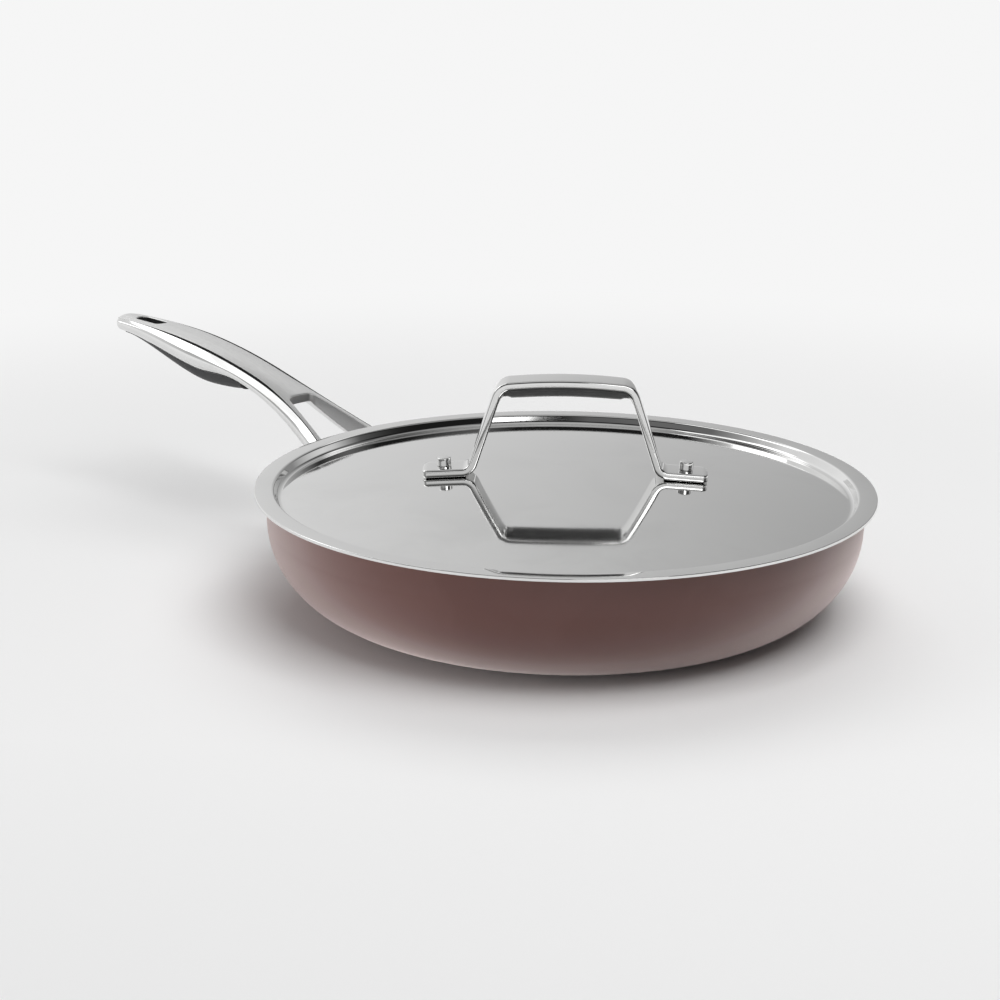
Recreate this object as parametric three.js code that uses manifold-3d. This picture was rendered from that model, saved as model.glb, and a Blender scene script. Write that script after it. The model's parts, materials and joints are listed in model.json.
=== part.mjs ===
// Frying pan with a lid: a drawn pan with a curved wall, a cast handle with a forked root riveted
// to that wall, a dark grip let into the handle's underside, and a pressed, domed lid that carries
// a bent strap handle on two rivets.
// Millimetres, +Z up. The origin is the centre of the flat base, and the long handle points to -X.

import * as THREE from "three";
import { mergeVertices } from "three/addons/utils/BufferGeometryUtils.js";
import Module from "manifold-3d";

const wasm = await Module();
wasm.setup();

// Pan
const RIM_RADIUS = 150;
const PAN_HEIGHT = 59.4;
const BASE_RADIUS = 102;
const BASE_THICKNESS = 4.5;
const WALL = 2.8;
const RIM_STRAIGHT = 13.4;
const RIM_FLARE = 1;

// Lid
const LID_SHEET = 1;
const LID_OVERHANG = 5;
const LID_FIT = 0.9;
const HEM_DROP = 0.9;
const HEM_BEND = 0.8;
const RECESS_DEPTH = 5.2;
const RECESS_DRAFT = 2;
const RECESS_BEND = 1;
const TROUGH_BEND = 3;
const DOME_CROWN = 5.2;
const LID_TURN = THREE.MathUtils.degToRad(40);

// Strap handle on the lid
const STRAP_WIDTH = 18;
const STRAP_THICKNESS = 4.4;
const STRAP_HEIGHT = 46.3;
const STRAP_CROWN = 2;
const BAR_HALF_LENGTH = 33;
const LEG_LEAN = THREE.MathUtils.degToRad(18);
const BAR_INNER_BEND = 0.5;
const FOOT_BEND = 6;
const FOOT_CORNER = 3;
const TOE_MARGIN = 7.3;
const HEEL_MARGIN = 2.7;
const GRIP_SWELL = 5.5;
const LEG_SWELL = 1.5;

// Long handle
const HANDLE_LENGTH = 202;
const HANDLE_RISE = 45.5;
const HANDLE_SWEEP = 2.2;
const ROOT_BELOW_RIM = 4.4;
const FACE_HALF_WIDTH = 12;
const TIP_HALF_WIDTH = 8.5;
const ROOT_HALF_WIDTH = 25;
const FLARE_LENGTH = 75;
const FLARE_SWEEP = 2.24;
const FACE_CROWN = 1.3;
const BEVEL_WIDTH = 3.4;
const TIP_BEVEL = 1.4;
const UNDERCUT = 4;
const TIP_UNDERCUT = 1.6;
const TIP_CORNER = 6;
const ROOT_DEPTH = 15.5;
const NECK_DEPTH = 9.2;
const GRIP_DEPTH = 15;
const TIP_DEPTH = 8;
const WEB_DEPTH = 5;
const WEB_FADE = 20;
const SWELL_REACH = 125;

// Fork opening and hanging slot in the long handle
const FORK_ROOT = 46;
const FORK_CORNER = 4.5;
const ARM_FACE = 4.8;
const SLOT_LENGTH = 23;
const SLOT_WIDTH = 8.5;
const SLOT_CORNER = 3.6;
const SLOT_FROM_TIP = 14;

// Dark grip under the long handle
const GRIP_START = 84;
const GRIP_FROM_TIP = 10;
const GRIP_BULGE = 15;
const TONGUE_HALF_WIDTH = 6;
const TONGUE_HEIGHT = 3.5;

// Plate that spreads the fork over the pan's wall
const PLATE_THICKNESS = 4.2;
const PLATE_HEIGHT = 24;
const PLATE_MARGIN = 4;
const PLATE_CORNER = 7;

// Rivets
const LID_SHANK = 2.4;
const LID_HEAD_RADIUS = 3.5;
const LID_HEAD_HEIGHT = 4.1;
const LID_TAIL_RADIUS = 4.5;
const LID_TAIL_HEIGHT = 1.3;
const PAN_SHANK = 2.8;
const PAN_HEAD_RADIUS = 6;
const PAN_HEAD_HEIGHT = 2;
const PAN_TAIL_RADIUS = 4.6;
const PAN_TAIL_HEIGHT = 1.8;
const RIVET_SHOULDER = 0.6;
const RIVET_FLAT = 0.7;

// Clearances
const SEAT_GAP = 0.3;
const HOLE_GAP = 0.3;
const LID_CLEARANCE = 1;
const TAIL_CLEARANCE = 1.5;
const NECK_CLEARANCE = 3;

// Facets
const ROUND_SIDES = 60;
const CURVE_STEPS = 10;
const DOME_STEPS = 7;
const BEND_STEPS = 3;
const LIP_STEPS = 4;
const RIVET_SIDES = 20;
const HANDLE_STEPS = 30;
const GRIP_STEPS = 14;
const STRAP_SIDES = 16;
const MERGE_DISTANCE = 1e-4;

// Sizes that follow from the ones above
const CURVE_HEIGHT = PAN_HEIGHT - RIM_STRAIGHT;
const LID_RADIUS = RIM_RADIUS + LID_OVERHANG;
const LID_PLANE = PAN_HEIGHT + SEAT_GAP + LID_SHEET / 2;
const RECESS_RADIUS = RIM_RADIUS - WALL - LID_FIT - LID_SHEET / 2;
const DOME_RADIUS = RECESS_RADIUS - RECESS_DRAFT;
const DOME_RISE = DOME_CROWN + RECESS_DEPTH;
const DOME_SPHERE = (DOME_RADIUS ** 2 + DOME_RISE ** 2) / (2 * DOME_RISE);
const BAR_BEND = BAR_INNER_BEND + GRIP_SWELL + STRAP_THICKNESS / 2;
const HEEL = BAR_HALF_LENGTH + STRAP_HEIGHT * Math.tan(LEG_LEAN);
const FOOT_CENTRE = HEEL + FOOT_BEND + HEEL_MARGIN + LID_HEAD_RADIUS;
const FOOT_TOE = LID_HEAD_RADIUS + TOE_MARGIN;
const HANDLE_TIP = RIM_RADIUS + HANDLE_LENGTH;
const HANDLE_ROOT = RIM_RADIUS - 2 * WALL;
const PLATE_TOP = PAN_HEIGHT - ROOT_BELOW_RIM;
const PAN_RIVET_HEIGHT = PLATE_TOP - PLATE_HEIGHT / 2;
const NECK_REACH = GRIP_START - NECK_CLEARANCE;
const GRIP_END = HANDLE_LENGTH - GRIP_FROM_TIP;

const finishes = {
  body: new THREE.MeshStandardMaterial({ color: 0x5e4844, roughness: 0.42, metalness: 0.1 }),
  polished: new THREE.MeshStandardMaterial({ color: 0xc9c9c8, roughness: 0.08, metalness: 1 }),
  satin: new THREE.MeshStandardMaterial({ color: 0xbfbfbe, roughness: 0.32, metalness: 1 }),
  grip: new THREE.MeshStandardMaterial({ color: 0x242424, roughness: 0.6, metalness: 0 }),
};

// Solids: closed geometry in, cut or joined solid, geometry out

function makeSolid(geometry) {
  const bare = geometry.clone();
  bare.deleteAttribute("normal");
  bare.deleteAttribute("uv");
  const merged = mergeVertices(bare, MERGE_DISTANCE);
  const corners = merged.index.array;
  const faces = [];
  for (let i = 0; i < corners.length; i += 3) {
    const face = [corners[i], corners[i + 1], corners[i + 2]];
    if (new Set(face).size === 3) {
      faces.push(face);
    }
  }
  const build = (list) => new wasm.Manifold(new wasm.Mesh({
    numProp: 3,
    vertProperties: new Float32Array(merged.attributes.position.array),
    triVerts: Uint32Array.from(list.flat()),
  }));
  const solid = build(faces);
  return solid.volume() > 0 ? solid : build(faces.map((face) => face.toReversed()));
}

function makeMesh(name, solid, material) {
  const faceted = solid.getMesh();
  const geometry = new THREE.BufferGeometry();
  geometry.setAttribute("position", new THREE.BufferAttribute(faceted.vertProperties, 3));
  geometry.setIndex(new THREE.BufferAttribute(faceted.triVerts, 1));
  geometry.computeVertexNormals();
  const mesh = new THREE.Mesh(geometry, material);
  mesh.name = name;
  return mesh;
}

const IN_PLACE = new THREE.Matrix4();

// Turns a profile of radius and height about the Z axis.
function revolve(profile, sides = ROUND_SIDES, matrix = IN_PLACE) {
  return makeSolid(new THREE.LatheGeometry(profile, sides).rotateX(Math.PI / 2).applyMatrix4(matrix));
}

// Raises an outline along +Z.
function prism(shape, height, matrix = IN_PLACE) {
  const geometry = new THREE.ExtrudeGeometry(shape, { depth: height, bevelEnabled: false });
  return makeSolid(geometry.applyMatrix4(matrix));
}

// Skins a row of closed rings and closes both ends with fans.
function loft(rings) {
  const sides = rings[0].length;
  const points = rings.flat();
  const index = [];
  for (let i = 0; i + 1 < rings.length; i += 1) {
    for (let j = 0; j < sides; j += 1) {
      const a = i * sides + j;
      const b = i * sides + ((j + 1) % sides);
      index.push(a, b, b + sides, a, b + sides, a + sides);
    }
  }
  const addCap = (ring, first, turned) => {
    const middle = ring.reduce((sum, p) => sum.add(p), new THREE.Vector3()).divideScalar(sides);
    points.push(middle);
    for (let j = 0; j < sides; j += 1) {
      const next = first + ((j + 1) % sides);
      index.push(points.length - 1, ...(turned ? [first + j, next] : [next, first + j]));
    }
  };
  addCap(rings[0], 0, false);
  addCap(rings.at(-1), (rings.length - 1) * sides, true);
  const geometry = new THREE.BufferGeometry().setFromPoints(points);
  geometry.setIndex(index);
  return makeSolid(geometry);
}

// An open path with each inner corner rounded to its radius.
function roundedPath(corners, radii) {
  const path = [corners[0]];
  for (let i = 1; i + 1 < corners.length; i += 1) {
    const back = corners[i - 1].clone().sub(corners[i]).normalize();
    const ahead = corners[i + 1].clone().sub(corners[i]).normalize();
    const half = Math.acos(back.dot(ahead)) / 2;
    const radius = radii[i - 1];
    const middle = back.clone().add(ahead).normalize();
    const centre = corners[i].clone().addScaledVector(middle, radius / Math.sin(half));
    const start = corners[i].clone().addScaledVector(back, radius / Math.tan(half)).sub(centre);
    const sweep = (Math.PI - 2 * half) * Math.sign(ahead.cross(back));
    for (let k = 0; k <= BEND_STEPS; k += 1) {
      const turned = start.clone().rotateAround(new THREE.Vector2(), sweep * (k / BEND_STEPS));
      path.push(turned.add(centre));
    }
  }
  path.push(corners.at(-1));
  return path;
}

// Unit normals to the left of a path; a point on the axis looks straight up.
function pathNormals(path) {
  return path.map((point, i) => {
    const before = path[Math.max(i - 1, 0)];
    const after = path[Math.min(i + 1, path.length - 1)];
    const along = after.clone().sub(before).normalize();
    return point.x === 0 ? new THREE.Vector2(0, 1) : new THREE.Vector2(-along.y, along.x);
  });
}

// Pan wall: an ellipse from the flat base, then a lean out to the rim. An inset of 1 is the inside.

function wallRun(inset, grow) {
  return RIM_RADIUS - RIM_FLARE - BASE_RADIUS - inset * WALL + grow;
}

function wallDrop(inset, grow) {
  return CURVE_HEIGHT - inset * BASE_THICKNESS + grow;
}

function wallCurve(inset, grow = 0) {
  const points = [];
  for (let i = 0; i <= CURVE_STEPS; i += 1) {
    const angle = (i / CURVE_STEPS) * (Math.PI / 2);
    const radius = BASE_RADIUS + wallRun(inset, grow) * Math.sin(angle);
    const height = CURVE_HEIGHT - wallDrop(inset, grow) * Math.cos(angle);
    points.push(new THREE.Vector2(radius, height));
  }
  return points;
}

function wallRadius(height, inset) {
  if (height < CURVE_HEIGHT) {
    const share = (CURVE_HEIGHT - height) / wallDrop(inset, 0);
    return BASE_RADIUS + wallRun(inset, 0) * Math.sqrt(1 - share ** 2);
  }
  const below = (PAN_HEIGHT - height) / (PAN_HEIGHT - CURVE_HEIGHT);
  return RIM_RADIUS - inset * WALL - RIM_FLARE * below;
}

function wallLean(height, inset) {
  const above = wallRadius(height + WALL / 2, inset);
  const below = wallRadius(height - WALL / 2, inset);
  return Math.atan((above - below) / WALL);
}

function panBlank() {
  const lip = WALL / 2;
  const profile = [new THREE.Vector2(0, 0), ...wallCurve(0)];
  for (let i = 0; i <= LIP_STEPS; i += 1) {
    const angle = (i / LIP_STEPS) * Math.PI;
    const radius = RIM_RADIUS - lip + lip * Math.cos(angle);
    profile.push(new THREE.Vector2(radius, PAN_HEIGHT - lip + lip * Math.sin(angle)));
  }
  profile.push(...wallCurve(1).toReversed(), new THREE.Vector2(0, BASE_THICKNESS));
  return revolve(profile);
}

// The space inside one side of the wall, grown outwards, for seating what is fixed to the wall.
function wallEnvelope(inset, grow, matrix = IN_PLACE) {
  const profile = [new THREE.Vector2(0, inset * BASE_THICKNESS - grow), ...wallCurve(inset, grow)];
  profile.push(new THREE.Vector2(RIM_RADIUS - inset * WALL + grow, PAN_HEIGHT));
  profile.push(new THREE.Vector2(0, PAN_HEIGHT));
  return revolve(profile, ROUND_SIDES, matrix);
}

// Rivets lie along +Z, with the seat of the head at Z = 0 and the tail behind the grip length.

function knob(radius, height, seat, direction) {
  return [
    new THREE.Vector2(0, seat),
    new THREE.Vector2(radius, seat),
    new THREE.Vector2(radius, seat + RIVET_SHOULDER * direction * height),
    new THREE.Vector2(RIVET_FLAT * radius, seat + direction * height),
    new THREE.Vector2(0, seat + direction * height),
  ];
}

function pin(radius, low, high) {
  return [
    new THREE.Vector2(0, low),
    new THREE.Vector2(radius, low),
    new THREE.Vector2(radius, high),
    new THREE.Vector2(0, high),
  ];
}

// The hole a rivet passes through, in the place that a matrix gives it.
function rivetHole(rivet, matrix) {
  const profile = pin(rivet.shank + HOLE_GAP, -rivet.grip - rivet.tailHeight, rivet.headHeight);
  return revolve(profile, RIVET_SIDES, matrix);
}

// Long handle, modelled along +X with its reach measured from the pan's axis

function handleTop(reach) {
  const back = (HANDLE_TIP - reach) / HANDLE_LENGTH;
  return PLATE_TOP + HANDLE_RISE * (1 - Math.max(back, 0) ** HANDLE_SWEEP);
}

// Blends one value into another between two lengths along the handle, measured from the rim.
function blend(reach, from, to, first, last) {
  const share = THREE.MathUtils.smoothstep(reach - RIM_RADIUS, from, to);
  return THREE.MathUtils.lerp(first, last, share);
}

function towardsTip(reach, grip, tip) {
  return blend(reach, SWELL_REACH, HANDLE_LENGTH, grip, tip);
}

function tipRounding(reach) {
  const past = Math.max(reach - (HANDLE_TIP - TIP_CORNER), 0);
  return TIP_CORNER - Math.sqrt(Math.max(TIP_CORNER ** 2 - past ** 2, 0));
}

function handleHalfWidth(reach) {
  const flare = Math.max((RIM_RADIUS + FLARE_LENGTH - reach) / FLARE_LENGTH, 0) ** FLARE_SWEEP;
  const grip = towardsTip(reach, FACE_HALF_WIDTH, TIP_HALF_WIDTH);
  return grip + (ROOT_HALF_WIDTH - FACE_HALF_WIDTH) * flare - tipRounding(reach);
}

function handleSide(reach) {
  return handleHalfWidth(reach) + towardsTip(reach, BEVEL_WIDTH, TIP_BEVEL);
}

function undersideHalfWidth(reach) {
  return handleSide(reach) - towardsTip(reach, UNDERCUT, TIP_UNDERCUT);
}

function handleDepth(reach) {
  const toNeck = blend(reach, 0, NECK_REACH, ROOT_DEPTH, NECK_DEPTH);
  const toGrip = blend(reach, NECK_REACH, SWELL_REACH, toNeck, GRIP_DEPTH);
  return towardsTip(reach, toGrip, TIP_DEPTH);
}

// The fork is hollowed from below, and the grip end is full.
function handleMiddleDepth(reach) {
  return blend(reach, NECK_REACH - WEB_FADE, NECK_REACH, WEB_DEPTH, handleDepth(reach));
}

function handleReaches() {
  const straight = HANDLE_TIP - TIP_CORNER - HANDLE_ROOT;
  const reaches = [];
  for (let i = 0; i < HANDLE_STEPS; i += 1) {
    reaches.push(HANDLE_ROOT + straight * (i / HANDLE_STEPS));
  }
  for (let i = 0; i <= BEND_STEPS; i += 1) {
    reaches.push(HANDLE_TIP - TIP_CORNER + TIP_CORNER * Math.sin((i / BEND_STEPS) * (Math.PI / 2)));
  }
  return reaches;
}

// A ring across the handle from half of its outline, given as pairs of half width and depth.
function mirroredRing(reach, half) {
  const top = handleTop(reach);
  const right = half.map(([y, depth]) => new THREE.Vector3(reach, y, top - depth));
  const left = half.filter(([y]) => y > 0).map(([y, depth]) => new THREE.Vector3(reach, -y, top - depth));
  return [...right, ...left.toReversed()];
}

// Crowned top face, wide bevel, upright side, and an underside that is flat or hollow.
function castingRing(reach) {
  const face = handleHalfWidth(reach);
  const side = handleSide(reach);
  const under = undersideHalfWidth(reach);
  const depth = handleDepth(reach);
  const middle = handleMiddleDepth(reach);
  return mirroredRing(reach, [
    [0, 0],
    [0.55 * face, 0.3 * FACE_CROWN],
    [face, FACE_CROWN],
    [0.3 * face + 0.7 * side, FACE_CROWN + 0.2 * depth],
    [side, 0.46 * depth],
    [0.85 * side + 0.15 * under, 0.75 * depth],
    [under, depth],
    [0.6 * under, middle],
    [0, middle],
  ]);
}

function gripReaches(margin) {
  const start = RIM_RADIUS + GRIP_START - margin;
  const length = GRIP_END - GRIP_START + 2 * margin;
  return Array.from({ length: GRIP_STEPS + 1 }, (_, i) => start + length * (i / GRIP_STEPS));
}

// The grip swells quickly behind the neck and thins out towards the tip.
function gripRing(reach) {
  const share = (reach - RIM_RADIUS - GRIP_START) / (GRIP_END - GRIP_START);
  const swell = GRIP_BULGE * Math.max(share, 0.02) ** 0.3 * Math.max(1 - share, 0.06);
  const half = undersideHalfWidth(reach) - SEAT_GAP;
  const seat = handleDepth(reach) + SEAT_GAP;
  return mirroredRing(reach, [
    [0, seat],
    [half, seat],
    [0.94 * half, seat + 0.5 * swell],
    [0.65 * half, seat + 0.9 * swell],
    [0, seat + swell],
  ]);
}

function tongueRing(reach, grow) {
  const seat = handleDepth(reach);
  return mirroredRing(reach, [
    [0, seat - TONGUE_HEIGHT - grow],
    [TONGUE_HALF_WIDTH + grow, seat - TONGUE_HEIGHT - grow],
    [TONGUE_HALF_WIDTH + grow, seat + 2 * SEAT_GAP],
    [0, seat + 2 * SEAT_GAP],
  ]);
}

function roundedBox(halfX, halfY, corner) {
  const shape = new THREE.Shape();
  shape.moveTo(halfX, halfY - corner);
  shape.absarc(halfX - corner, halfY - corner, corner, 0, Math.PI / 2);
  shape.absarc(corner - halfX, halfY - corner, corner, Math.PI / 2, Math.PI);
  shape.absarc(corner - halfX, corner - halfY, corner, Math.PI, 1.5 * Math.PI);
  shape.absarc(halfX - corner, corner - halfY, corner, 1.5 * Math.PI, 2 * Math.PI);
  return shape;
}

// The opening between the arms: narrow and round at the handle, wide at the wall.
function forkHalfWidth(reach) {
  const share = (reach - RIM_RADIUS) / FORK_ROOT;
  const rootWidth = handleHalfWidth(RIM_RADIUS + FORK_ROOT);
  return THREE.MathUtils.lerp(ROOT_HALF_WIDTH, rootWidth, share) - ARM_FACE;
}

function forkOpening() {
  const root = RIM_RADIUS + FORK_ROOT;
  const half = [
    new THREE.Vector2(HANDLE_ROOT, forkHalfWidth(HANDLE_ROOT)),
    new THREE.Vector2(root, forkHalfWidth(root)),
    new THREE.Vector2(root, 0),
  ];
  const upper = roundedPath(half, [FORK_CORNER]);
  const lower = upper.slice(0, -1).map((p) => new THREE.Vector2(p.x, -p.y)).toReversed();
  return prism(new THREE.Shape([...upper.slice(0, -1), ...lower]), PAN_HEIGHT + HANDLE_RISE);
}

function hangingSlot(grow) {
  const outline = roundedBox(SLOT_LENGTH / 2 + grow, SLOT_WIDTH / 2 + grow, SLOT_CORNER + grow);
  const centre = HANDLE_TIP - SLOT_FROM_TIP - SLOT_LENGTH / 2;
  return prism(outline, PAN_HEIGHT + HANDLE_RISE, new THREE.Matrix4().makeTranslation(centre, 0, 0));
}

// A plate bent to the wall, with its outline rounded as seen from the handle.
function wallPlate() {
  const facing = new THREE.Matrix4().makeRotationY(Math.PI / 2).setPosition(0, 0, PAN_RIVET_HEIGHT);
  const outline = roundedBox(PLATE_HEIGHT / 2, ROOT_HALF_WIDTH + PLATE_MARGIN, PLATE_CORNER);
  const blank = prism(outline, RIM_RADIUS + 2 * PLATE_THICKNESS, facing);
  return blank.intersect(wallEnvelope(0, SEAT_GAP + PLATE_THICKNESS));
}

// The space that the lid needs to come straight up.
function lidSpace() {
  const low = LID_PLANE - HEM_DROP - LID_CLEARANCE;
  return revolve(pin(LID_RADIUS + LID_CLEARANCE, low, low + HANDLE_RISE));
}

function panRivet() {
  return {
    shank: PAN_SHANK,
    grip: WALL + PLATE_THICKNESS + 2 * SEAT_GAP,
    headRadius: PAN_HEAD_RADIUS,
    headHeight: PAN_HEAD_HEIGHT,
    tailRadius: PAN_TAIL_RADIUS,
    tailHeight: PAN_TAIL_HEIGHT,
  };
}

// A pan rivet's head and tail are set down on the curved wall and plate.
function panRivetSolid(rivet, matrix) {
  const toRivet = matrix.clone().invert();
  const sunk = WALL / 2;
  const head = revolve(knob(rivet.headRadius, rivet.headHeight + sunk, -sunk, 1), RIVET_SIDES);
  const tail = revolve(knob(rivet.tailRadius, rivet.tailHeight + sunk, sunk - rivet.grip, -1), RIVET_SIDES);
  const shank = revolve(pin(rivet.shank, -rivet.grip - sunk, sunk), RIVET_SIDES);
  return shank
    .add(head.intersect(wallEnvelope(1, -SEAT_GAP, toRivet)))
    .add(tail.subtract(wallEnvelope(0, PLATE_THICKNESS + 2 * SEAT_GAP, toRivet)));
}

// Puts a pan rivet's seat on the inside of the wall, square to it, at one side of the handle.
function placePanRivet(object, side) {
  const radius = wallRadius(PAN_RIVET_HEIGHT, 1);
  const tailEnd = RIM_RADIUS + PLATE_THICKNESS + PAN_TAIL_HEIGHT;
  const offset = forkHalfWidth(tailEnd) - PAN_TAIL_RADIUS - TAIL_CLEARANCE;
  const angle = side * Math.asin(offset / radius);
  object.position.set(radius * Math.cos(angle), radius * Math.sin(angle), PAN_RIVET_HEIGHT);
  object.rotation.set(0, wallLean(PAN_RIVET_HEIGHT, 1) - Math.PI / 2, angle, "ZYX");
  object.updateMatrix();
  return object;
}

// Lid

function domeDrop(radius) {
  return DOME_SPHERE - Math.sqrt(DOME_SPHERE ** 2 - radius ** 2);
}

function lidProfile() {
  const edge = LID_RADIUS - LID_SHEET / 2;
  const dome = [];
  for (let i = 0; i < DOME_STEPS; i += 1) {
    const radius = DOME_RADIUS * (i / DOME_STEPS);
    dome.push(new THREE.Vector2(radius, DOME_CROWN - domeDrop(radius)));
  }
  const corners = [
    dome.at(-1),
    new THREE.Vector2(DOME_RADIUS, -RECESS_DEPTH),
    new THREE.Vector2(RECESS_RADIUS, 0),
    new THREE.Vector2(edge, 0),
    new THREE.Vector2(edge, -HEM_DROP),
  ];
  const path = [...dome.slice(0, -1), ...roundedPath(corners, [TROUGH_BEND, RECESS_BEND, HEM_BEND])];
  const normals = pathNormals(path);
  const side = (sign) => path.map((p, i) => p.clone().addScaledVector(normals[i], (sign * LID_SHEET) / 2));
  return [...side(1), ...side(-1).toReversed()];
}

// The strap's centre line from the middle of the bar to the toe of a foot, which lies on the dome.
function strapPath() {
  const slope = Math.asin(FOOT_CENTRE / DOME_SPHERE);
  const lift = LID_SHEET / 2 + SEAT_GAP + STRAP_THICKNESS / 2;
  const dome = new THREE.Vector2(FOOT_CENTRE, DOME_CROWN - domeDrop(FOOT_CENTRE));
  const foot = dome.clone().add(new THREE.Vector2(Math.sin(slope), Math.cos(slope)).multiplyScalar(lift));
  const along = new THREE.Vector2(Math.cos(slope), -Math.sin(slope));
  const toe = foot.clone().addScaledVector(along, FOOT_TOE);
  const corner = new THREE.Vector2(BAR_HALF_LENGTH, foot.y + STRAP_HEIGHT - STRAP_CROWN);
  const leg = new THREE.Vector2(Math.sin(LEG_LEAN), -Math.cos(LEG_LEAN));
  const reach = foot.clone().sub(corner).cross(along) / leg.cross(along);
  const heel = corner.clone().addScaledVector(leg, reach);
  const middle = new THREE.Vector2(0, corner.y + STRAP_CROWN);
  const shoulder = new THREE.Vector2(BAR_HALF_LENGTH / 2, corner.y + 0.75 * STRAP_CROWN);
  const bent = roundedPath([shoulder, corner, heel, toe], [BAR_BEND, FOOT_BEND]);
  const start = toe.clone().addScaledVector(along, -FOOT_CORNER);
  return { slope, foot, points: [middle, ...bent.slice(0, -1), start, toe] };
}

// Strap section: a rounded bar that swells on the finger side of the grip.
function strapRing(point, normal, swell, halfWidth) {
  const ring = [];
  for (let i = 0; i < STRAP_SIDES; i += 1) {
    const angle = ((i + 0.5) / STRAP_SIDES) * 2 * Math.PI;
    const squared = (value, power) => Math.sign(value) * Math.abs(value) ** power;
    const across = halfWidth * squared(Math.cos(angle), 0.4);
    const share = across / halfWidth;
    const round = (STRAP_THICKNESS / 2) * squared(Math.sin(angle), 0.55);
    const out = round - (round < 0 ? swell * (1 - share ** 2) : 0);
    ring.push(new THREE.Vector3(point.x + normal.x * out, across, point.y + normal.y * out));
  }
  return ring;
}

function strapSolid() {
  const { points } = strapPath();
  const normals = pathNormals(points);
  const bar = points[0].y;
  const toe = points.at(-1);
  const half = points.map((point, i) => {
    const fallen = (bar - point.y) / (bar - toe.y);
    const swell = THREE.MathUtils.lerp(GRIP_SWELL, LEG_SWELL, THREE.MathUtils.smoothstep(fallen, 0, 0.2));
    const fade = 1 - THREE.MathUtils.smoothstep(fallen, 0.5, 0.8);
    const tucked = i === points.length - 1 ? FOOT_CORNER : 0;
    return strapRing(point, normals[i], swell * fade, STRAP_WIDTH / 2 - tucked);
  });
  const mirrored = half.slice(1).map((ring) => ring.map((p) => p.clone().setX(-p.x)));
  return loft([...mirrored.toReversed(), ...half]);
}

function lidRivet() {
  return {
    shank: LID_SHANK,
    grip: LID_SHEET + STRAP_THICKNESS + 3 * SEAT_GAP,
    headRadius: LID_HEAD_RADIUS,
    headHeight: LID_HEAD_HEIGHT,
    tailRadius: LID_TAIL_RADIUS,
    tailHeight: LID_TAIL_HEIGHT,
  };
}

function lidRivetSolid(rivet) {
  const head = revolve(knob(rivet.headRadius, rivet.headHeight, 0, 1), RIVET_SIDES);
  const tail = revolve(knob(rivet.tailRadius, rivet.tailHeight, -rivet.grip, -1), RIVET_SIDES);
  const shank = revolve(pin(rivet.shank, -rivet.grip - LID_SHEET / 2, LID_SHEET / 2), RIVET_SIDES);
  return shank.add(head).add(tail);
}

function placeLidRivet(object, side) {
  const { slope, foot } = strapPath();
  const lift = STRAP_THICKNESS / 2 + SEAT_GAP;
  object.position.set(side * (foot.x + lift * Math.sin(slope)), 0, foot.y + lift * Math.cos(slope));
  object.rotation.set(0, side * slope, 0);
  object.updateMatrix();
  return object;
}

// Assembly

const SIDES = [
  { side: 1, label: "a" },
  { side: -1, label: "b" },
];

function buildPan() {
  const pan = new THREE.Group();
  pan.rotation.z = Math.PI;
  const rivet = panRivet();
  const holes = SIDES.map(({ side }) => rivetHole(rivet, placePanRivet(new THREE.Object3D(), side).matrix));
  const body = holes.reduce((solid, hole) => solid.subtract(hole), panBlank());
  pan.add(makeMesh("pan_body", body, finishes.body));

  const channel = loft(gripReaches(SEAT_GAP).map((reach) => tongueRing(reach, SEAT_GAP)));
  const casting = loft(handleReaches().map(castingRing))
    .subtract(forkOpening())
    .subtract(hangingSlot(0))
    .subtract(channel)
    .add(wallPlate())
    .subtract(wallEnvelope(0, SEAT_GAP))
    .subtract(lidSpace());
  const handle = holes.reduce((solid, hole) => solid.subtract(hole), casting);
  pan.add(makeMesh("pan_handle", handle, finishes.satin));

  const swell = loft(gripReaches(0).map(gripRing));
  const tongue = loft(gripReaches(0).map((reach) => tongueRing(reach, 0)));
  const grip = swell.add(tongue).subtract(hangingSlot(SEAT_GAP));
  pan.add(makeMesh("handle_under_grip", grip, finishes.grip));

  for (const { side, label } of SIDES) {
    const solid = panRivetSolid(rivet, placePanRivet(new THREE.Object3D(), side).matrix);
    pan.add(placePanRivet(makeMesh(`handle_rivet_${label}`, solid, finishes.polished), side));
  }
  return pan;
}

function buildLid() {
  const lid = new THREE.Group();
  lid.position.z = LID_PLANE;
  lid.rotation.z = LID_TURN;
  const rivet = lidRivet();
  const holes = SIDES.map(({ side }) => rivetHole(rivet, placeLidRivet(new THREE.Object3D(), side).matrix));
  const shell = holes.reduce((solid, hole) => solid.subtract(hole), revolve(lidProfile()));
  lid.add(makeMesh("lid_shell", shell, finishes.polished));

  const strap = holes.reduce((solid, hole) => solid.subtract(hole), strapSolid());
  lid.add(makeMesh("lid_handle", strap, finishes.polished));

  for (const { side, label } of SIDES) {
    const solid = lidRivetSolid(rivet);
    lid.add(placeLidRivet(makeMesh(`lid_rivet_${label}`, solid, finishes.satin), side));
  }
  return lid;
}

const fryingPan = new THREE.Group();
fryingPan.add(buildPan(), buildLid());

export default fryingPan;
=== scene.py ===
"""Dresses the packed frying pan: finer meshes and finishes for the pan, its forked handle and the lid."""

import json
import math

import bmesh
import bpy
from bpy.props import FloatProperty, FloatVectorProperty, PointerProperty
from mathutils import Matrix, Vector


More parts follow.
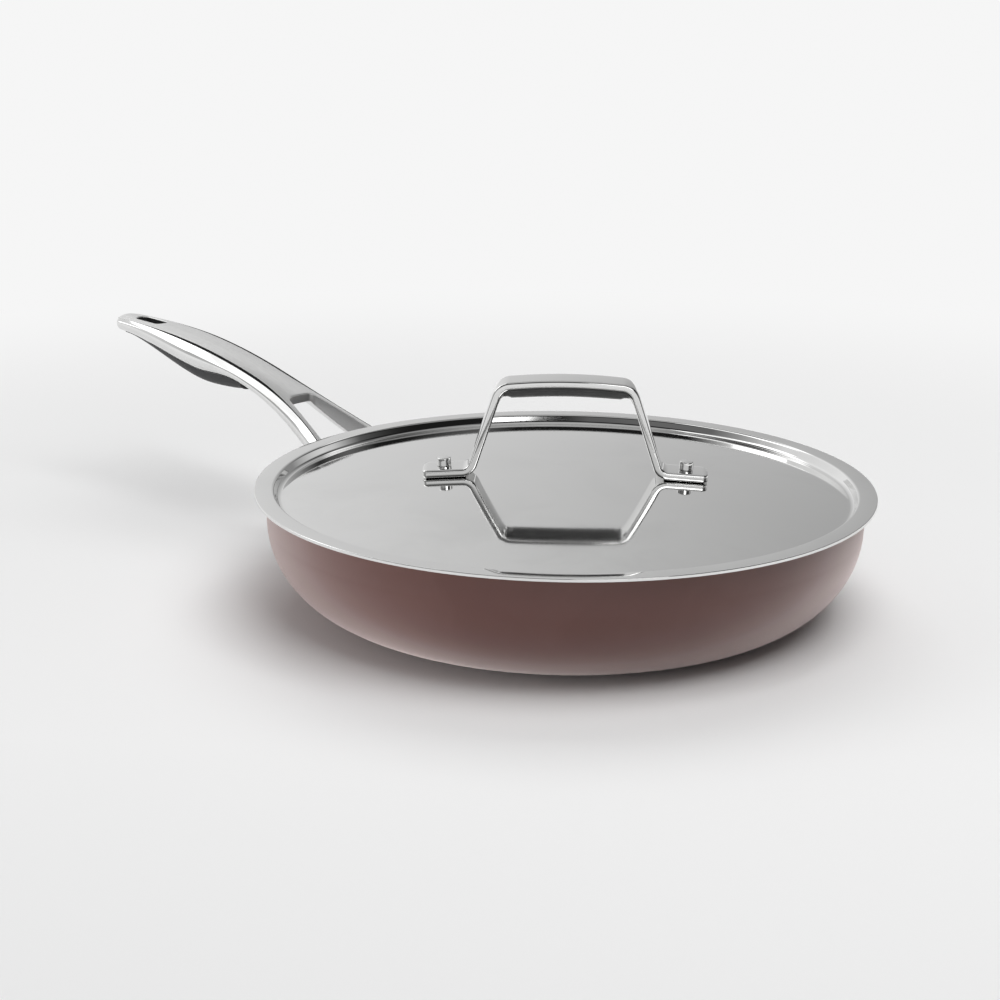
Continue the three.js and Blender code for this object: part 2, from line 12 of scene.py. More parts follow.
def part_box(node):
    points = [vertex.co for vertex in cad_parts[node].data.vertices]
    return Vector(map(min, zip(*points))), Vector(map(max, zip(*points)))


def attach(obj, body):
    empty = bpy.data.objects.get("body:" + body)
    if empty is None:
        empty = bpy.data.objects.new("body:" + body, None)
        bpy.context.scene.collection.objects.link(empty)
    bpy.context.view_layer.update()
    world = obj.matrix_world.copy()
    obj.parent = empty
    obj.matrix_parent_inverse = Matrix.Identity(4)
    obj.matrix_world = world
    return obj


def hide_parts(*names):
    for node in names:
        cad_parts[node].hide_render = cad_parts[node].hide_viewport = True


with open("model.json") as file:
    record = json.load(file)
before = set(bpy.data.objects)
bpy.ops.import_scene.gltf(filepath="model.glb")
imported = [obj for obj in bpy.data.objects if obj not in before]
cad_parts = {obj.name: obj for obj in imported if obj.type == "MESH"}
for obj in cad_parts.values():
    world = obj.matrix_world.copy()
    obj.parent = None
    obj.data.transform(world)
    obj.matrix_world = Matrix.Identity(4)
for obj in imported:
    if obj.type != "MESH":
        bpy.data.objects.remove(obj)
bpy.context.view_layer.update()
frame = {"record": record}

bl_info = {
    "name": "Frying pan with lid",
    "version": (1, 0, 0),
    "blender": (4, 5, 0),
    "location": "3D View > Sidebar > Frying pan",
    "description": "Models the pieces of a frying pan with a domed lid around its packed CAD frame",
    "category": "Object",
}

MM = 0.001
MERGE = 1e-6

# Facets of the finished meshes
ROUND_STEPS = 192
RIVET_STEPS = 48
CURVE_STEPS = 40
DOME_STEPS = 44
BEND_STEPS = 10
LIP_STEPS = 10
STRAP_STEPS = 16
EDGE_STEPS = 4
HANDLE_STEPS = 110
GRIP_STEPS = 64
SMOOTH_ANGLE = math.radians(32)

# Where the packed nodes lie
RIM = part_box("pan_body")[1]
LID_EDGE = min(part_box("lid_shell")[1].x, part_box("lid_shell")[1].y)
HANDLE_TIP = -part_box("pan_handle")[0].x
LID_TURN = math.radians(40)


def length(label, description, metres):
    """A length that a user can change, in metres."""
    return FloatProperty(
        name=label,
        description=description,
        default=metres,
        min=0,
        subtype="DISTANCE",
        unit="LENGTH",
        precision=4,
    )


def share(label, description, value):
    """A plain number that a user can change."""
    return FloatProperty(name=label, description=description, default=value, min=0, subtype="FACTOR", max=10)


def tone(label, description, colour):
    """A linear colour that a user can change."""
    return FloatVectorProperty(
        name=label, description=description, default=colour, size=3, min=0, max=1, subtype="COLOR"
    )


class PanSizes(bpy.types.PropertyGroup):
    """Sizes of the drawn pan."""

    rim_radius: length("Rim radius", "Outer radius of the pan's lip", RIM.y)
    height: length("Height", "Height of the lip above the table", RIM.z)
    base_radius: length("Base radius", "Radius of the flat that the pan stands on", 102 * MM)
    base_thickness: length("Base thickness", "Thickness of the flat base", 4.5 * MM)
    wall: length("Wall", "Thickness of the curved wall", 2.8 * MM)
    rim_straight: length("Rim straight", "Height of the nearly upright band under the lip", 13.4 * MM)
    rim_flare: length("Rim flare", "How far that band leans out", 1 * MM)


class HandleSizes(bpy.types.PropertyGroup):
    """Sizes of the long cast handle."""

    tip: length("Tip", "Reach of the handle's tip from the pan's axis", HANDLE_TIP)
    rise: length("Rise", "Height gained from the wall to the tip", 45.5 * MM)
    sweep: share("Sweep", "Power of the curve that the handle rises on", 2.2)
    below_rim: length("Below rim", "How far under the lip the handle starts", 4.4 * MM)
    face: length("Face half width", "Half width of the satin face along the grip", 12 * MM)
    tip_face: length("Tip half width", "Half width of the face at the tip", 8.5 * MM)
    root_face: length("Root half width", "Half width over both arms at the wall", 25 * MM)
    flare: length("Flare length", "Length over which the arms spread", 75 * MM)
    flare_sweep: share("Flare sweep", "Power of the curve that the arms spread on", 2.24)
    crown: length("Crown", "Fall of the face from its middle to its edge", 1.3 * MM)
    bevel: length("Bevel", "How far the polished flank stands out beyond the face", 3.4 * MM)
    tip_bevel: length("Tip bevel", "The same at the tip", 1.4 * MM)
    undercut: length("Undercut", "How far the underside draws in from the flank", 4 * MM)
    tip_undercut: length("Tip undercut", "The same at the tip", 1.6 * MM)
    tip_corner: length("Tip corner", "Radius of the tip seen from above", 6 * MM)
    root_depth: length("Root depth", "Depth of the casting at the wall", 15.5 * MM)
    neck_depth: length("Neck depth", "Depth of the casting in front of the grip", 9.2 * MM)
    grip_depth: length("Grip depth", "Depth of the casting over the grip", 15 * MM)
    tip_depth: length("Tip depth", "Depth of the casting at the tip", 8 * MM)
    web_depth: length("Web depth", "Depth left over the hollow under the fork", 5 * MM)
    groove_width: length("Groove width", "Width of the dark line between face and flank", 2.2 * MM)
    groove_depth: length("Groove depth", "Depth of that line", 0.9 * MM)
    fork_root: length("Fork root", "Length of the opening between the arms", 46 * MM)
    fork_corner: length("Fork corner", "Corner radius at the root of the fork", 4.5 * MM)
    arm_face: length("Arm face", "Width of each arm seen from above", 4.8 * MM)
    fork_edge: length("Fork edge", "Rounding of the fork's upper edge", 0.6 * MM)
    slot_length: length("Slot length", "Length of the hanging slot", 23 * MM)
    slot_width: length("Slot width", "Width of the hanging slot", 8.5 * MM)
    slot_corner: length("Slot corner", "Corner radius of the hanging slot", 3.6 * MM)
    slot_from_tip: length("Slot from tip", "Metal between the slot and the tip", 14 * MM)
    slot_edge: length("Slot edge", "Rounding of the slot's upper edge", 0.7 * MM)
    plate: length("Plate", "Thickness of the plate on the wall", 4.2 * MM)
    plate_height: length("Plate height", "Height of the plate", 24 * MM)
    plate_margin: length("Plate margin", "How far the plate stands out beyond the arms", 4 * MM)
    plate_corner: length("Plate corner", "Corner radius of the plate", 7 * MM)


class GripSizes(bpy.types.PropertyGroup):
    """Sizes of the dark grip under the handle."""

    start: length("Start", "Distance from the rim to the grip", 84 * MM)
    from_tip: length("From tip", "Distance from the grip to the tip", 10 * MM)
    bulge: length("Bulge", "Depth that the grip swells by", 15 * MM)


class LidSizes(bpy.types.PropertyGroup):
    """Sizes of the pressed lid."""

    radius: length("Radius", "Outer radius of the flange", LID_EDGE)
    sheet: length("Sheet", "Thickness of the pressed sheet", 1 * MM)
    fit: length("Fit", "Gap between the recess and the pan's wall", 0.9 * MM)
    hem_drop: length("Hem drop", "How far the flange turns down at its edge", 0.9 * MM)
    hem_bend: length("Hem bend", "Radius of that turn", 0.8 * MM)
    hem_edge: length("Hem edge", "Rounding ground on the outside of the turn", 0.35 * MM)
    recess_depth: length("Recess depth", "Depth of the ring that drops into the pan", 5.2 * MM)
    recess_draft: length("Recess draft", "How far the wall of the recess leans in", 2 * MM)
    recess_bend: length("Recess bend", "Radius between flange and recess", 1 * MM)
    trough_bend: length("Trough bend", "Radius between recess and dome", 3 * MM)
    crown: length("Crown", "Height of the dome above the flange", 5.2 * MM)


class StrapSizes(bpy.types.PropertyGroup):
    """Sizes of the bent strap on the lid."""

    width: length("Width", "Width of the strap", 18 * MM)
    thickness: length("Thickness", "Thickness of the strap", 4.34 * MM)
    height: length("Height", "Height of the bar over the feet", 46.3 * MM)
    crown: length("Crown", "How far the bar rises to its middle", 2 * MM)
    bar: length("Bar half length", "Half length of the bar between its bends", 33 * MM)
    lean: FloatProperty(
        name="Lean",
        description="Lean of the legs",
        default=math.radians(18),
        subtype="ANGLE",
        unit="ROTATION",
    )
    bar_bend: length("Bar bend", "Radius of the upper bends on the middle of the strap", 8.2 * MM)
    foot_bend: length("Foot bend", "Radius of the bend over the foot", 6 * MM)
    foot_corner: length("Foot corner", "Corner radius of a foot's toe", 3 * MM)
    toe: length("Toe", "Metal beyond the rivet's head", 7.3 * MM)
    heel: length("Heel", "Metal between the bend and the rivet's head", 2.7 * MM)
    swell: length("Grip swell", "How far the bar swells on the finger side", 5.5 * MM)
    leg_swell: length("Leg swell", "The same on the legs", 0.3 * MM)
    outer_crown: length("Outer crown", "Fall of the outer face from its middle to its edges", 0.3 * MM)
    edge: length("Edge", "Rounding of the strap's long edges", 1.1 * MM)
    # The painted shade under the bar ends this far before its bends.
    finger_side_end: length("Finger side end", "How far the dark finger side ends before the bends", 2 * MM)


class RivetSizes(bpy.types.PropertyGroup):
    """Sizes of the rivets."""

    lid_shank: length("Lid shank", "Radius of the lid rivets' shank", 2.4 * MM)
    lid_head: length("Lid head", "Radius of the lid rivets' head", 3.5 * MM)
    lid_head_height: length("Lid head height", "Height of that head", 4.1 * MM)
    lid_tail: length("Lid tail", "Radius of the lid rivets' tail", 4.5 * MM)
    lid_tail_height: length("Lid tail height", "Height of that tail", 1.3 * MM)
    pan_shank: length("Pan shank", "Radius of the pan rivets' shank", 2.8 * MM)
    pan_head: length("Pan head", "Radius of the pan rivets' head inside the pan", 6 * MM)
    pan_head_height: length("Pan head height", "Height of that head", 2 * MM)
    pan_tail: length("Pan tail", "Radius of the pan rivets' tail on the plate", 4.6 * MM)
    pan_tail_height: length("Pan tail height", "Height of that tail", 1.8 * MM)
    gap: length("Gap", "Gap between parts that touch", 0.3 * MM)


class Finishes(bpy.types.PropertyGroup):
    """Colours of the finishes."""

    brown: tone("Brown", "Hard-anodised outside of the pan", (0.108, 0.039, 0.031))
    brown_worn: tone("Worn brown", "Lighter brown where the pan is rubbed", (0.125, 0.05, 0.041))
    inside: tone("Inside", "Cooking surface", (0.06, 0.052, 0.05))
    steel: tone("Polished steel", "Lid, strap and flanks of the handle", (0.8, 0.8, 0.795))
    steel_dull: tone("Dulled steel", "Polished steel where it has been touched", (0.74, 0.74, 0.735))
    satin: tone("Satin steel", "Brushed face of the handle", (0.84, 0.84, 0.835))
    satin_dark: tone("Satin lines", "Darker lines in the brushing", (0.74, 0.74, 0.735))
    grip: tone("Grip", "Dark grip under the handle", (0.02, 0.02, 0.021))
    floor: tone("Floor", "Table and backdrop", (0.92, 0.92, 0.92))
    # Painted shade: the table's colour towards the camera.
    floor_near: tone("Near floor", "Table towards the camera", (0.83, 0.83, 0.83))
    # The fork's walls: a darker, rougher steel.
    cast: tone("Cast steel", "Walls of the fork, left as cast", (0.42, 0.42, 0.42))
    # Painted shade: the dark colour under the strap's bar.
    blackened: tone("Blackened steel", "Finger side of the strap's bar", (0.15, 0.15, 0.15))


# Selecting, drawing and cutting


def deselect_all():
    """Leaves edit mode with nothing selected."""
    if bpy.context.mode != "OBJECT":
        bpy.ops.object.mode_set(mode="OBJECT")
    bpy.ops.object.select_all(action="DESELECT")


def make_active(piece):
    deselect_all()
    piece.select_set(True)
    bpy.context.view_layer.objects.active = piece


def edit_all(piece):
    """Opens a piece with all of it selected."""
    make_active(piece)
    bpy.ops.object.mode_set(mode="EDIT")
    bpy.ops.mesh.select_all(action="SELECT")


def rename(piece, name):
    piece.name = name
    piece.data.name = name


def start_editing(name):
    """Names the primitive that was just added, and opens it with all of it selected."""
    piece = bpy.context.object
    rename(piece, name)
    edit_all(piece)
    return piece


def turn_outwards(piece):
    edit_all(piece)
    bpy.ops.mesh.normals_make_consistent(inside=False)
    bpy.ops.object.mode_set(mode="OBJECT")


def spin_profile(name, profile, facets=ROUND_STEPS):
    """Draws a line of radius and height points from the axis to the axis, and spins it about Z."""
    deselect_all()
    bpy.ops.mesh.primitive_plane_add(size=MM)
    piece = start_editing(name)
    bpy.ops.mesh.merge(type="CENTER")
    pen = Vector((0, 0, 0))
    for i, (radius, height) in enumerate(profile):
        point = Vector((radius, 0, height))
        if i == 0:
            bpy.ops.transform.translate(value=point - pen)
        else:
            bpy.ops.mesh.extrude_region_move(TRANSFORM_OT_translate={"value": point - pen})
        pen = point
    bpy.ops.mesh.select_all(action="SELECT")
    bpy.ops.mesh.spin(steps=facets, angle=math.tau, center=(0, 0, 0), axis=(0, 0, 1))
    bpy.ops.mesh.select_all(action="SELECT")
    bpy.ops.mesh.remove_doubles(threshold=MERGE)
    bpy.ops.mesh.normals_make_consistent(inside=False)
    bpy.ops.object.mode_set(mode="OBJECT")
    return piece


def skin_rings(name, rings, finish_of_side=None):
    """Extrudes a filled outline from ring to ring. A list gives each side of it its material slot."""
    deselect_all()
    bpy.ops.mesh.primitive_circle_add(vertices=len(rings[0]), radius=MM, fill_type="NGON")
    piece = start_editing(name)
    for i, ring in enumerate(rings):
        if i > 0:
            bpy.ops.mesh.extrude_region_move()
        mesh = bmesh.from_edit_mesh(piece.data)
        seat = mesh.verts.layers.int.get("seat")
        if seat is None:
            seat = mesh.verts.layers.int.new("seat")
            for j, vert in enumerate(mesh.verts):
                vert[seat] = j
        for vert in mesh.verts:
            if vert.select:
                vert.co = ring[vert[seat]]
        bmesh.update_edit_mesh(piece.data)
    if finish_of_side:
        for face in mesh.faces:
            seats = sorted({vert[seat] for vert in face.verts})
            if len(seats) == 2:
                side = seats[0] if seats[1] - seats[0] == 1 else seats[1]
                face.material_index = finish_of_side[side]
        bmesh.update_edit_mesh(piece.data)
    bpy.ops.mesh.select_all(action="SELECT")
    bpy.ops.mesh.normals_make_consistent(inside=False)
    bpy.ops.object.mode_set(mode="OBJECT")
    piece.data.attributes.remove(piece.data.attributes["seat"])
    return piece


def combine(piece, other, operation):
    """Cuts a piece with another, joins the two or keeps what they share. The other one is used up."""
    make_active(piece)
    bpy.ops.object.modifier_add(type="BOOLEAN")
    step = piece.modifiers[-1]
    step.operation = operation
    step.solver = "EXACT"
    step.object = other
    bpy.ops.object.modifier_apply(modifier=step.name)
    bpy.data.meshes.remove(other.data)


def place(piece, matrix):
    """Moves a piece and puts its place into its mesh."""
    make_active(piece)
    piece.matrix_world = matrix @ piece.matrix_world
    bpy.ops.object.transform_apply(location=True, rotation=True, scale=True)


def copy_of(piece, name):
    make_active(piece)
    bpy.ops.object.duplicate(linked=False)
    rename(bpy.context.object, name)
    return bpy.context.object


def wear(piece, *materials):
    """Gives a piece its materials, one for each slot."""
    for material in materials:
        piece.data.materials.append(material)


def hand_over(piece, node):
    """Cleans and smooths a piece, lets it ride on its node's body and puts it in the node's stead."""
    edit_all(piece)
    bpy.ops.mesh.remove_doubles(threshold=MERGE)
    bpy.ops.mesh.dissolve_degenerate(threshold=MERGE)
    bpy.ops.object.mode_set(mode="OBJECT")
    bpy.ops.object.shade_smooth_by_angle(angle=SMOOTH_ANGLE)
    body = next(name for name, nodes in frame["record"]["behaviour"]["bodies"].items() if node in nodes)
    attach(piece, body)
    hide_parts(node)


# Curves


def mix(first, last, part):
    return first + (last - first) * part


def smoothstep(value, low, high):
    part = min(max((value - low) / (high - low), 0), 1)
    return part * part * (3 - 2 * part)


def rounded_off(past, radius):
    """How far a round corner falls back, by the distance past the start of its arc."""
    return radius - math.sqrt(max(radius**2 - max(past, 0) ** 2, 0))


def steps(low, high, count):
    return [mix(low, high, i / count) for i in range(count + 1)]


def arc(centre, radius, first, last, count):
    """Points on a circle between two angles."""
    angles = steps(first, last, count)
    return [(centre[0] + radius * math.cos(a), centre[1] + radius * math.sin(a)) for a in angles]


def rounded_path(corners, radii):
    """An open path with each inner corner rounded to its radius."""
    path = [Vector(corners[0])]
    for i in range(1, len(corners) - 1):
        corner = Vector(corners[i])
        back = (Vector(corners[i - 1]) - corner).normalized()
        ahead = (Vector(corners[i + 1]) - corner).normalized()
        half = math.acos(back.dot(ahead)) / 2
        radius = radii[i - 1]
        centre = corner + (back + ahead).normalized() * (radius / math.sin(half))
        start = corner + back * (radius / math.tan(half)) - centre
        cross = ahead.x * back.y - ahead.y * back.x
        sweep = math.copysign(math.pi - 2 * half, cross)
        for turn in steps(0, sweep, BEND_STEPS):
            path.append(centre + Matrix.Rotation(turn, 2) @ start)
    path.append(Vector(corners[-1]))
    return path


def left_normals(path):
    """Unit normals to the left of a path; a point on the axis looks straight up."""
    normals = []
    for i, point in enumerate(path):
        along = (path[min(i + 1, len(path) - 1)] - path[max(i - 1, 0)]).normalized()
        normals.append(Vector((0, 1)) if point.x == 0 else Vector((-along.y, along.x)))
    return normals


def flowing(points, count):
    """A smooth curve through points, with a few steps between each two."""
    points = [Vector(p) for p in points]
    ends = [points[0] * 2 - points[1], *points, points[-1] * 2 - points[-2]]
    curve = []
    for i in range(1, len(points)):
        before, first, last, after = ends[i - 1 : i + 3]
        for part in steps(0, 1, count)[:-1]:
            bend = 2 * before - 5 * first + 4 * last - after
            twist = 3 * (first - last) + after - before
            curve.append(0.5 * (2 * first + (last - before) * part + bend * part**2 + twist * part**3))
    curve.append(points[-1])
    return curve


# Shader groups and materials


class Level:
    """A number in a shader tree, so that sums of such numbers read as plain arithmetic."""

    def __init__(self, tree, socket):
        self.tree = tree
        self.socket = socket

    def calculate(self, operation, first, second):
        node = self.tree.nodes.new("ShaderNodeMath")
        node.operation = operation
        set_socket(self.tree, node.inputs[0], first)
        set_socket(self.tree, node.inputs[1], second)
        return Level(self.tree, node.outputs[0])

    def __add__(self, other):
        return self.calculate("ADD", self, other)

    def __mul__(self, other):
        return self.calculate("MULTIPLY", self, other)

    def __rsub__(self, other):
        return self.calculate("SUBTRACT", other, self)

    def or_more(self, other):
        """The larger of two levels."""
        return self.calculate("MAXIMUM", self, other)

    def ramp(self, low, high, first=0.0, last=1.0, kind="LINEAR"):
        """Maps one range to another, held at both ends."""
        sockets = {"Value": self, "From_Min": low, "From_Max": high, "To_Min": first, "To_Max": last}
        node = add_node(self.tree, "ShaderNodeMapRange", {"interpolation_type": kind}, **sockets)
        return Level(self.tree, node.outputs["Result"])


def set_socket(tree, socket, value):
    """Gives a socket a constant, or links it to a level or to another node's output."""
    if isinstance(value, Level):
        value = value.socket
    if isinstance(value, bpy.types.NodeSocket):
        tree.links.new(value, socket)
    else:
        socket.default_value = value


def add_node(tree, kind, settings=None, **sockets):
    """Adds a node with its settings and its sockets, named with an underscore for each space."""
    node = tree.nodes.new(kind)
    for key, value in (settings or {}).items():
        setattr(node, key, value)
    for label, value in sockets.items():
        set_socket(tree, node.inputs[label.replace("_", " ")], value)
    return node


def add_noise(tree, where, scale, detail, roughness=0.5, distortion=0.0):
    node = add_node(tree, "ShaderNodeTexNoise", Vector=where, Scale=scale, Detail=detail, Roughness=roughness)
    node.inputs["Distortion"].default_value = distortion
    return Level(tree, node.outputs[0])


def distance_from_axis(tree, where):
    """How far a place lies from the pan's axis."""
    flat = add_node(tree, "ShaderNodeVectorMath", {"operation": "MULTIPLY"}, Vector=where)
    flat.inputs[1].default_value = (1, 1, 0)
    out = add_node(tree, "ShaderNodeVectorMath", {"operation": "LENGTH"}, Vector=flat.outputs[0])
    return Level(tree, out.outputs["Value"])


def colour_between(level, first, last):
    """A colour that goes from one to another as a level goes from 0 to 1."""
    ramp = level.tree.nodes.new("ShaderNodeValToRGB")
    ramp.color_ramp.elements[0].color = (*first, 1)
    ramp.color_ramp.elements[1].color = (*last, 1)
    set_socket(level.tree, ramp.inputs[0], level)
    return ramp.outputs[0]


def open_group(name, inputs, output):
    """A shader node group with a dictionary of inputs and their defaults, and one output."""
    tree = bpy.data.node_groups.new(name, "ShaderNodeTree")
    for label, default in inputs.items():
        kind = "NodeSocketFloat" if isinstance(default, float) else "NodeSocketVector"
        socket = tree.interface.new_socket(label, in_out="INPUT", socket_type=kind)
        socket.default_value = default
    tree.interface.new_socket(output, in_out="OUTPUT", socket_type="NodeSocketFloat")
    return tree, tree.nodes.new("NodeGroupInput").outputs, tree.nodes.new("NodeGroupOutput").inputs[0]


def brushed_lines():
    """Fine lines drawn out along one direction, from dark 0 to light 1."""
    tree, given, lines = open_group("brushed_lines", {"Place": (0, 0, 0), "Stretch": (1, 1, 1)}, "Lines")
    drawn = add_node(tree, "ShaderNodeMapping", Vector=given["Place"], Scale=given["Stretch"]).outputs[0]
    fine = add_noise(tree, drawn, 1.0, 3.0, 0.65)
    broad = add_noise(tree, drawn, 0.31, 2.0)
    set_socket(tree, lines, (fine * 0.65 + broad * 0.35).ramp(0.3, 0.7))
    return tree


def turned_rings():
    """Fine rings about the pan's axis, from dark 0 to light 1."""
    tree, given, rings = open_group("turned_rings", {"Place": (0, 0, 0), "Rings per metre": 400.0}, "Rings")
    spaced = distance_from_axis(tree, given["Place"]) * given["Rings per metre"]
    noise = add_node(tree, "ShaderNodeTexNoise", {"noise_dimensions": "1D"}, W=spaced, Scale=1.0, Detail=2.0)
    set_socket(tree, rings, Level(tree, noise.outputs[0]).ramp(0.3, 0.7))
    return tree


def handling_marks():
    """Soft smudges and a little cloud, mostly 0 and up to 1."""
    tree, given, marks = open_group("handling_marks", {"Place": (0, 0, 0), "Marks per metre": 30.0}, "Marks")
    sockets = {"Vector": given["Place"], "Scale": given["Marks per metre"]}
    spread = add_node(tree, "ShaderNodeVectorMath", {"operation": "SCALE"}, **sockets).outputs[0]
    smudge = add_noise(tree, spread, 1.0, 4.0, 0.55, 0.6)
    cloud = add_noise(tree, spread, 0.27, 2.0)
    set_socket(tree, marks, smudge.ramp(0.42, 0.75) * cloud.ramp(0.3, 0.65))
    return tree


class Surface:
    """A material in the making. Constants are set on its shader, the rest follows Object coordinates."""

    def __init__(self, name, **constants):
        self.material = bpy.data.materials.new(name)
        self.material.use_nodes = True
        self.tree = self.material.node_tree
        self.inputs = self.tree.nodes["Principled BSDF"].inputs
        self.where = self.tree.nodes.new("ShaderNodeTexCoord").outputs["Object"]
        for label, value in constants.items():
            self.set(label.replace("_", " "), value)

    def set(self, label, value):
        set_socket(self.tree, self.inputs[label], value)

    def group(self, maker, **sockets):
        """A level from a shared node group, which is made at its first use."""
        node_tree = bpy.data.node_groups.get(maker.__name__) or maker()
        node = add_node(self.tree, "ShaderNodeGroup", {"node_tree": node_tree}, Place=self.where, **sockets)
        return Level(self.tree, node.outputs[0])

    def noise(self, *settings):
        return add_noise(self.tree, self.where, *settings)

    def colour(self, level, first, last):
        self.set("Base Color", colour_between(level, first, last))

    def roughness(self, level, first, last):
        self.set("Roughness", level.ramp(0, 1, first, last))

    def bump(self, level, distance, strength):
        bump = add_node(self.tree, "ShaderNodeBump", Height=level, Distance=distance, Strength=strength)
        self.set("Normal", bump.outputs["Normal"])


def scaled(colour, factor):
    """A lighter or darker colour of the same kind."""
    return tuple(min(1, part * factor) for part in colour)


def anodised_brown(finishes):
    """Satin brown oxide on aluminium, slightly rubbed, with a fine tooth and a pale sheen at its sides."""
    brown = Surface("anodised_brown", IOR=1.5, Coat_Weight=0.15, Coat_Roughness=0.3, Sheen_Roughness=0.5)
    brown.set("Sheen Tint", (1, 0.87, 0.85, 1))
    marks = brown.group(handling_marks, Marks_per_metre=26.0)
    brown.colour(marks, finishes.brown, finishes.brown_worn)
    brown.roughness(marks, 0.37, 0.32)
    brown.bump(brown.noise(2600.0, 3.0, 0.6), 0.02 * MM, 0.5)
    facing = add_node(brown.tree, "ShaderNodeLayerWeight", Blend=0.5).outputs["Facing"]
    brown.set("Sheen Weight", Level(brown.tree, facing).ramp(0.12, 0.58))
    return brown.material


def cooking_surface(finishes):
    """Dark coating with turned rings and a fine sparkle."""
    coating = Surface("cooking_surface")
    rings = coating.group(turned_rings, Rings_per_metre=900.0)
    speckle = coating.noise(1400.0, 2.0).ramp(0.55, 0.75)
    coating.colour(speckle, finishes.inside, scaled(finishes.inside, 1.35))
    coating.roughness(rings, 0.36, 0.46)
    coating.bump(rings, 0.03 * MM, 0.5)
    return coating.material


def polished_steel(finishes):
    """Mirror-polished steel, faintly smudged."""
    steel = Surface("polished_steel", Metallic=1.0)
    marks = steel.group(handling_marks, Marks_per_metre=34.0)
    steel.colour(marks, finishes.steel, finishes.steel_dull)
    steel.roughness(marks, 0.035, 0.075)
    return steel.material


def lid_steel(finishes):
    """The lid's mirror, with the faint rings of its polishing."""
    steel = Surface("lid_steel", Metallic=1.0)
    marks = steel.group(handling_marks, Marks_per_metre=22.0)
    steel.colour(marks, finishes.steel, finishes.steel_dull)
    steel.roughness(marks, 0.05, 0.09)
    steel.bump(steel.group(turned_rings, Rings_per_metre=700.0), 0.002 * MM, 0.3)
    return steel.material


def satin_steel(finishes):
    """Steel brushed along the handle."""
    steel = Surface("satin_steel", Metallic=0.8)
    lines = steel.group(brushed_lines, Stretch=(40.0, 2600.0, 900.0))
    steel.colour(lines, finishes.satin_dark, finishes.satin)
    steel.roughness(lines, 0.4, 0.3)
    steel.bump(lines, 0.01 * MM, 0.35)
    return steel.material


def dark_fork_steel(finishes):
    """Darker, rougher steel with a fine grain, on the fork's walls."""
    steel = Surface("dark_fork_steel", Metallic=1.0, Roughness=0.45)
    grain = steel.noise(1500.0, 2.0)
    steel.colour(grain, finishes.cast, scaled(finishes.cast, 1.15))
    steel.bump(grain, 0.02 * MM, 0.3)
    return steel.material


def painted_groove_shade(finishes):
    """Painted shade: near-black colour, taken from the grip's, on the groove's faces and the hanging slot's
    walls.
    """
    groove = Surface("painted_groove_shade", Roughness=0.7)
    groove.colour(groove.noise(900.0, 2.0), scaled(finishes.grip, 0.5), finishes.grip)
    return groove.material


def painted_bar_shade(finishes):
    """Painted shade: dark steel under the strap's bar, on its finger side, with lighter smudges."""
    steel = Surface("painted_bar_shade", Metallic=0.8)
    marks = steel.group(handling_marks, Marks_per_metre=90.0)
    steel.colour(marks, finishes.blackened, scaled(finishes.blackened, 1.5))
    steel.roughness(marks, 0.34, 0.26)
    return steel.material


def grip_black(finishes):
    """Black moulded grip with a fine leathery tooth."""
    grip = Surface("grip_black")
    cells = add_node(grip.tree, "ShaderNodeTexVoronoi", {"feature": "F1"}, Vector=grip.where, Scale=900.0)
    marks = grip.group(handling_marks, Marks_per_metre=60.0)
    grip.colour(marks, finishes.grip, scaled(finishes.grip, 1.9))
    grip.roughness(marks, 0.52, 0.4)
    grip.bump(cells.outputs[0], 0.06 * MM, 0.5)
    return grip.material


def finish(maker):
    """A material by the function that makes it, made once."""
    return bpy.data.materials.get(maker.__name__) or maker(bpy.context.scene.pan_finishes)


# Pan

BASE_RINGS = (0, 0.25, 0.5, 0.75, 0.9)
OUTSIDE, INSIDE = 0, 1
FACING_UP = 0.7
SIDES = (1, -1)


def curve_height(pan):
    return pan.height - pan.rim_straight


def wall_run(pan, inset, grow):
    return pan.rim_radius - pan.rim_flare - pan.base_radius - inset * pan.wall + grow


def wall_drop(pan, inset, grow):
    return curve_height(pan) - inset * pan.base_thickness + grow


def wall_curve(pan, inset, grow=0.0):
    """The quarter ellipse from the flat base to the band under the lip. An inset of 1 is the inside."""
    points = []
    for angle in steps(0, math.pi / 2, CURVE_STEPS):
        radius = pan.base_radius + wall_run(pan, inset, grow) * math.sin(angle)
        points.append((radius, curve_height(pan) - wall_drop(pan, inset, grow) * math.cos(angle)))
    return points


def wall_radius(pan, height, inset):
    if height < curve_height(pan):
        part = (curve_height(pan) - height) / wall_drop(pan, inset, 0)
        return pan.base_radius + wall_run(pan, inset, 0) * math.sqrt(1 - part**2)
    below = (pan.height - height) / pan.rim_straight
    return pan.rim_radius - inset * pan.wall - pan.rim_flare * below


def wall_envelope(pan, inset, grow):
    """The space inside one side of the wall, grown outwards."""
    profile = [(0, inset * pan.base_thickness - grow), *wall_curve(pan, inset, grow)]
    edge = pan.rim_radius - inset * pan.wall + grow
    return spin_profile("wall_envelope", [*profile, (edge, pan.height), (0, pan.height)])


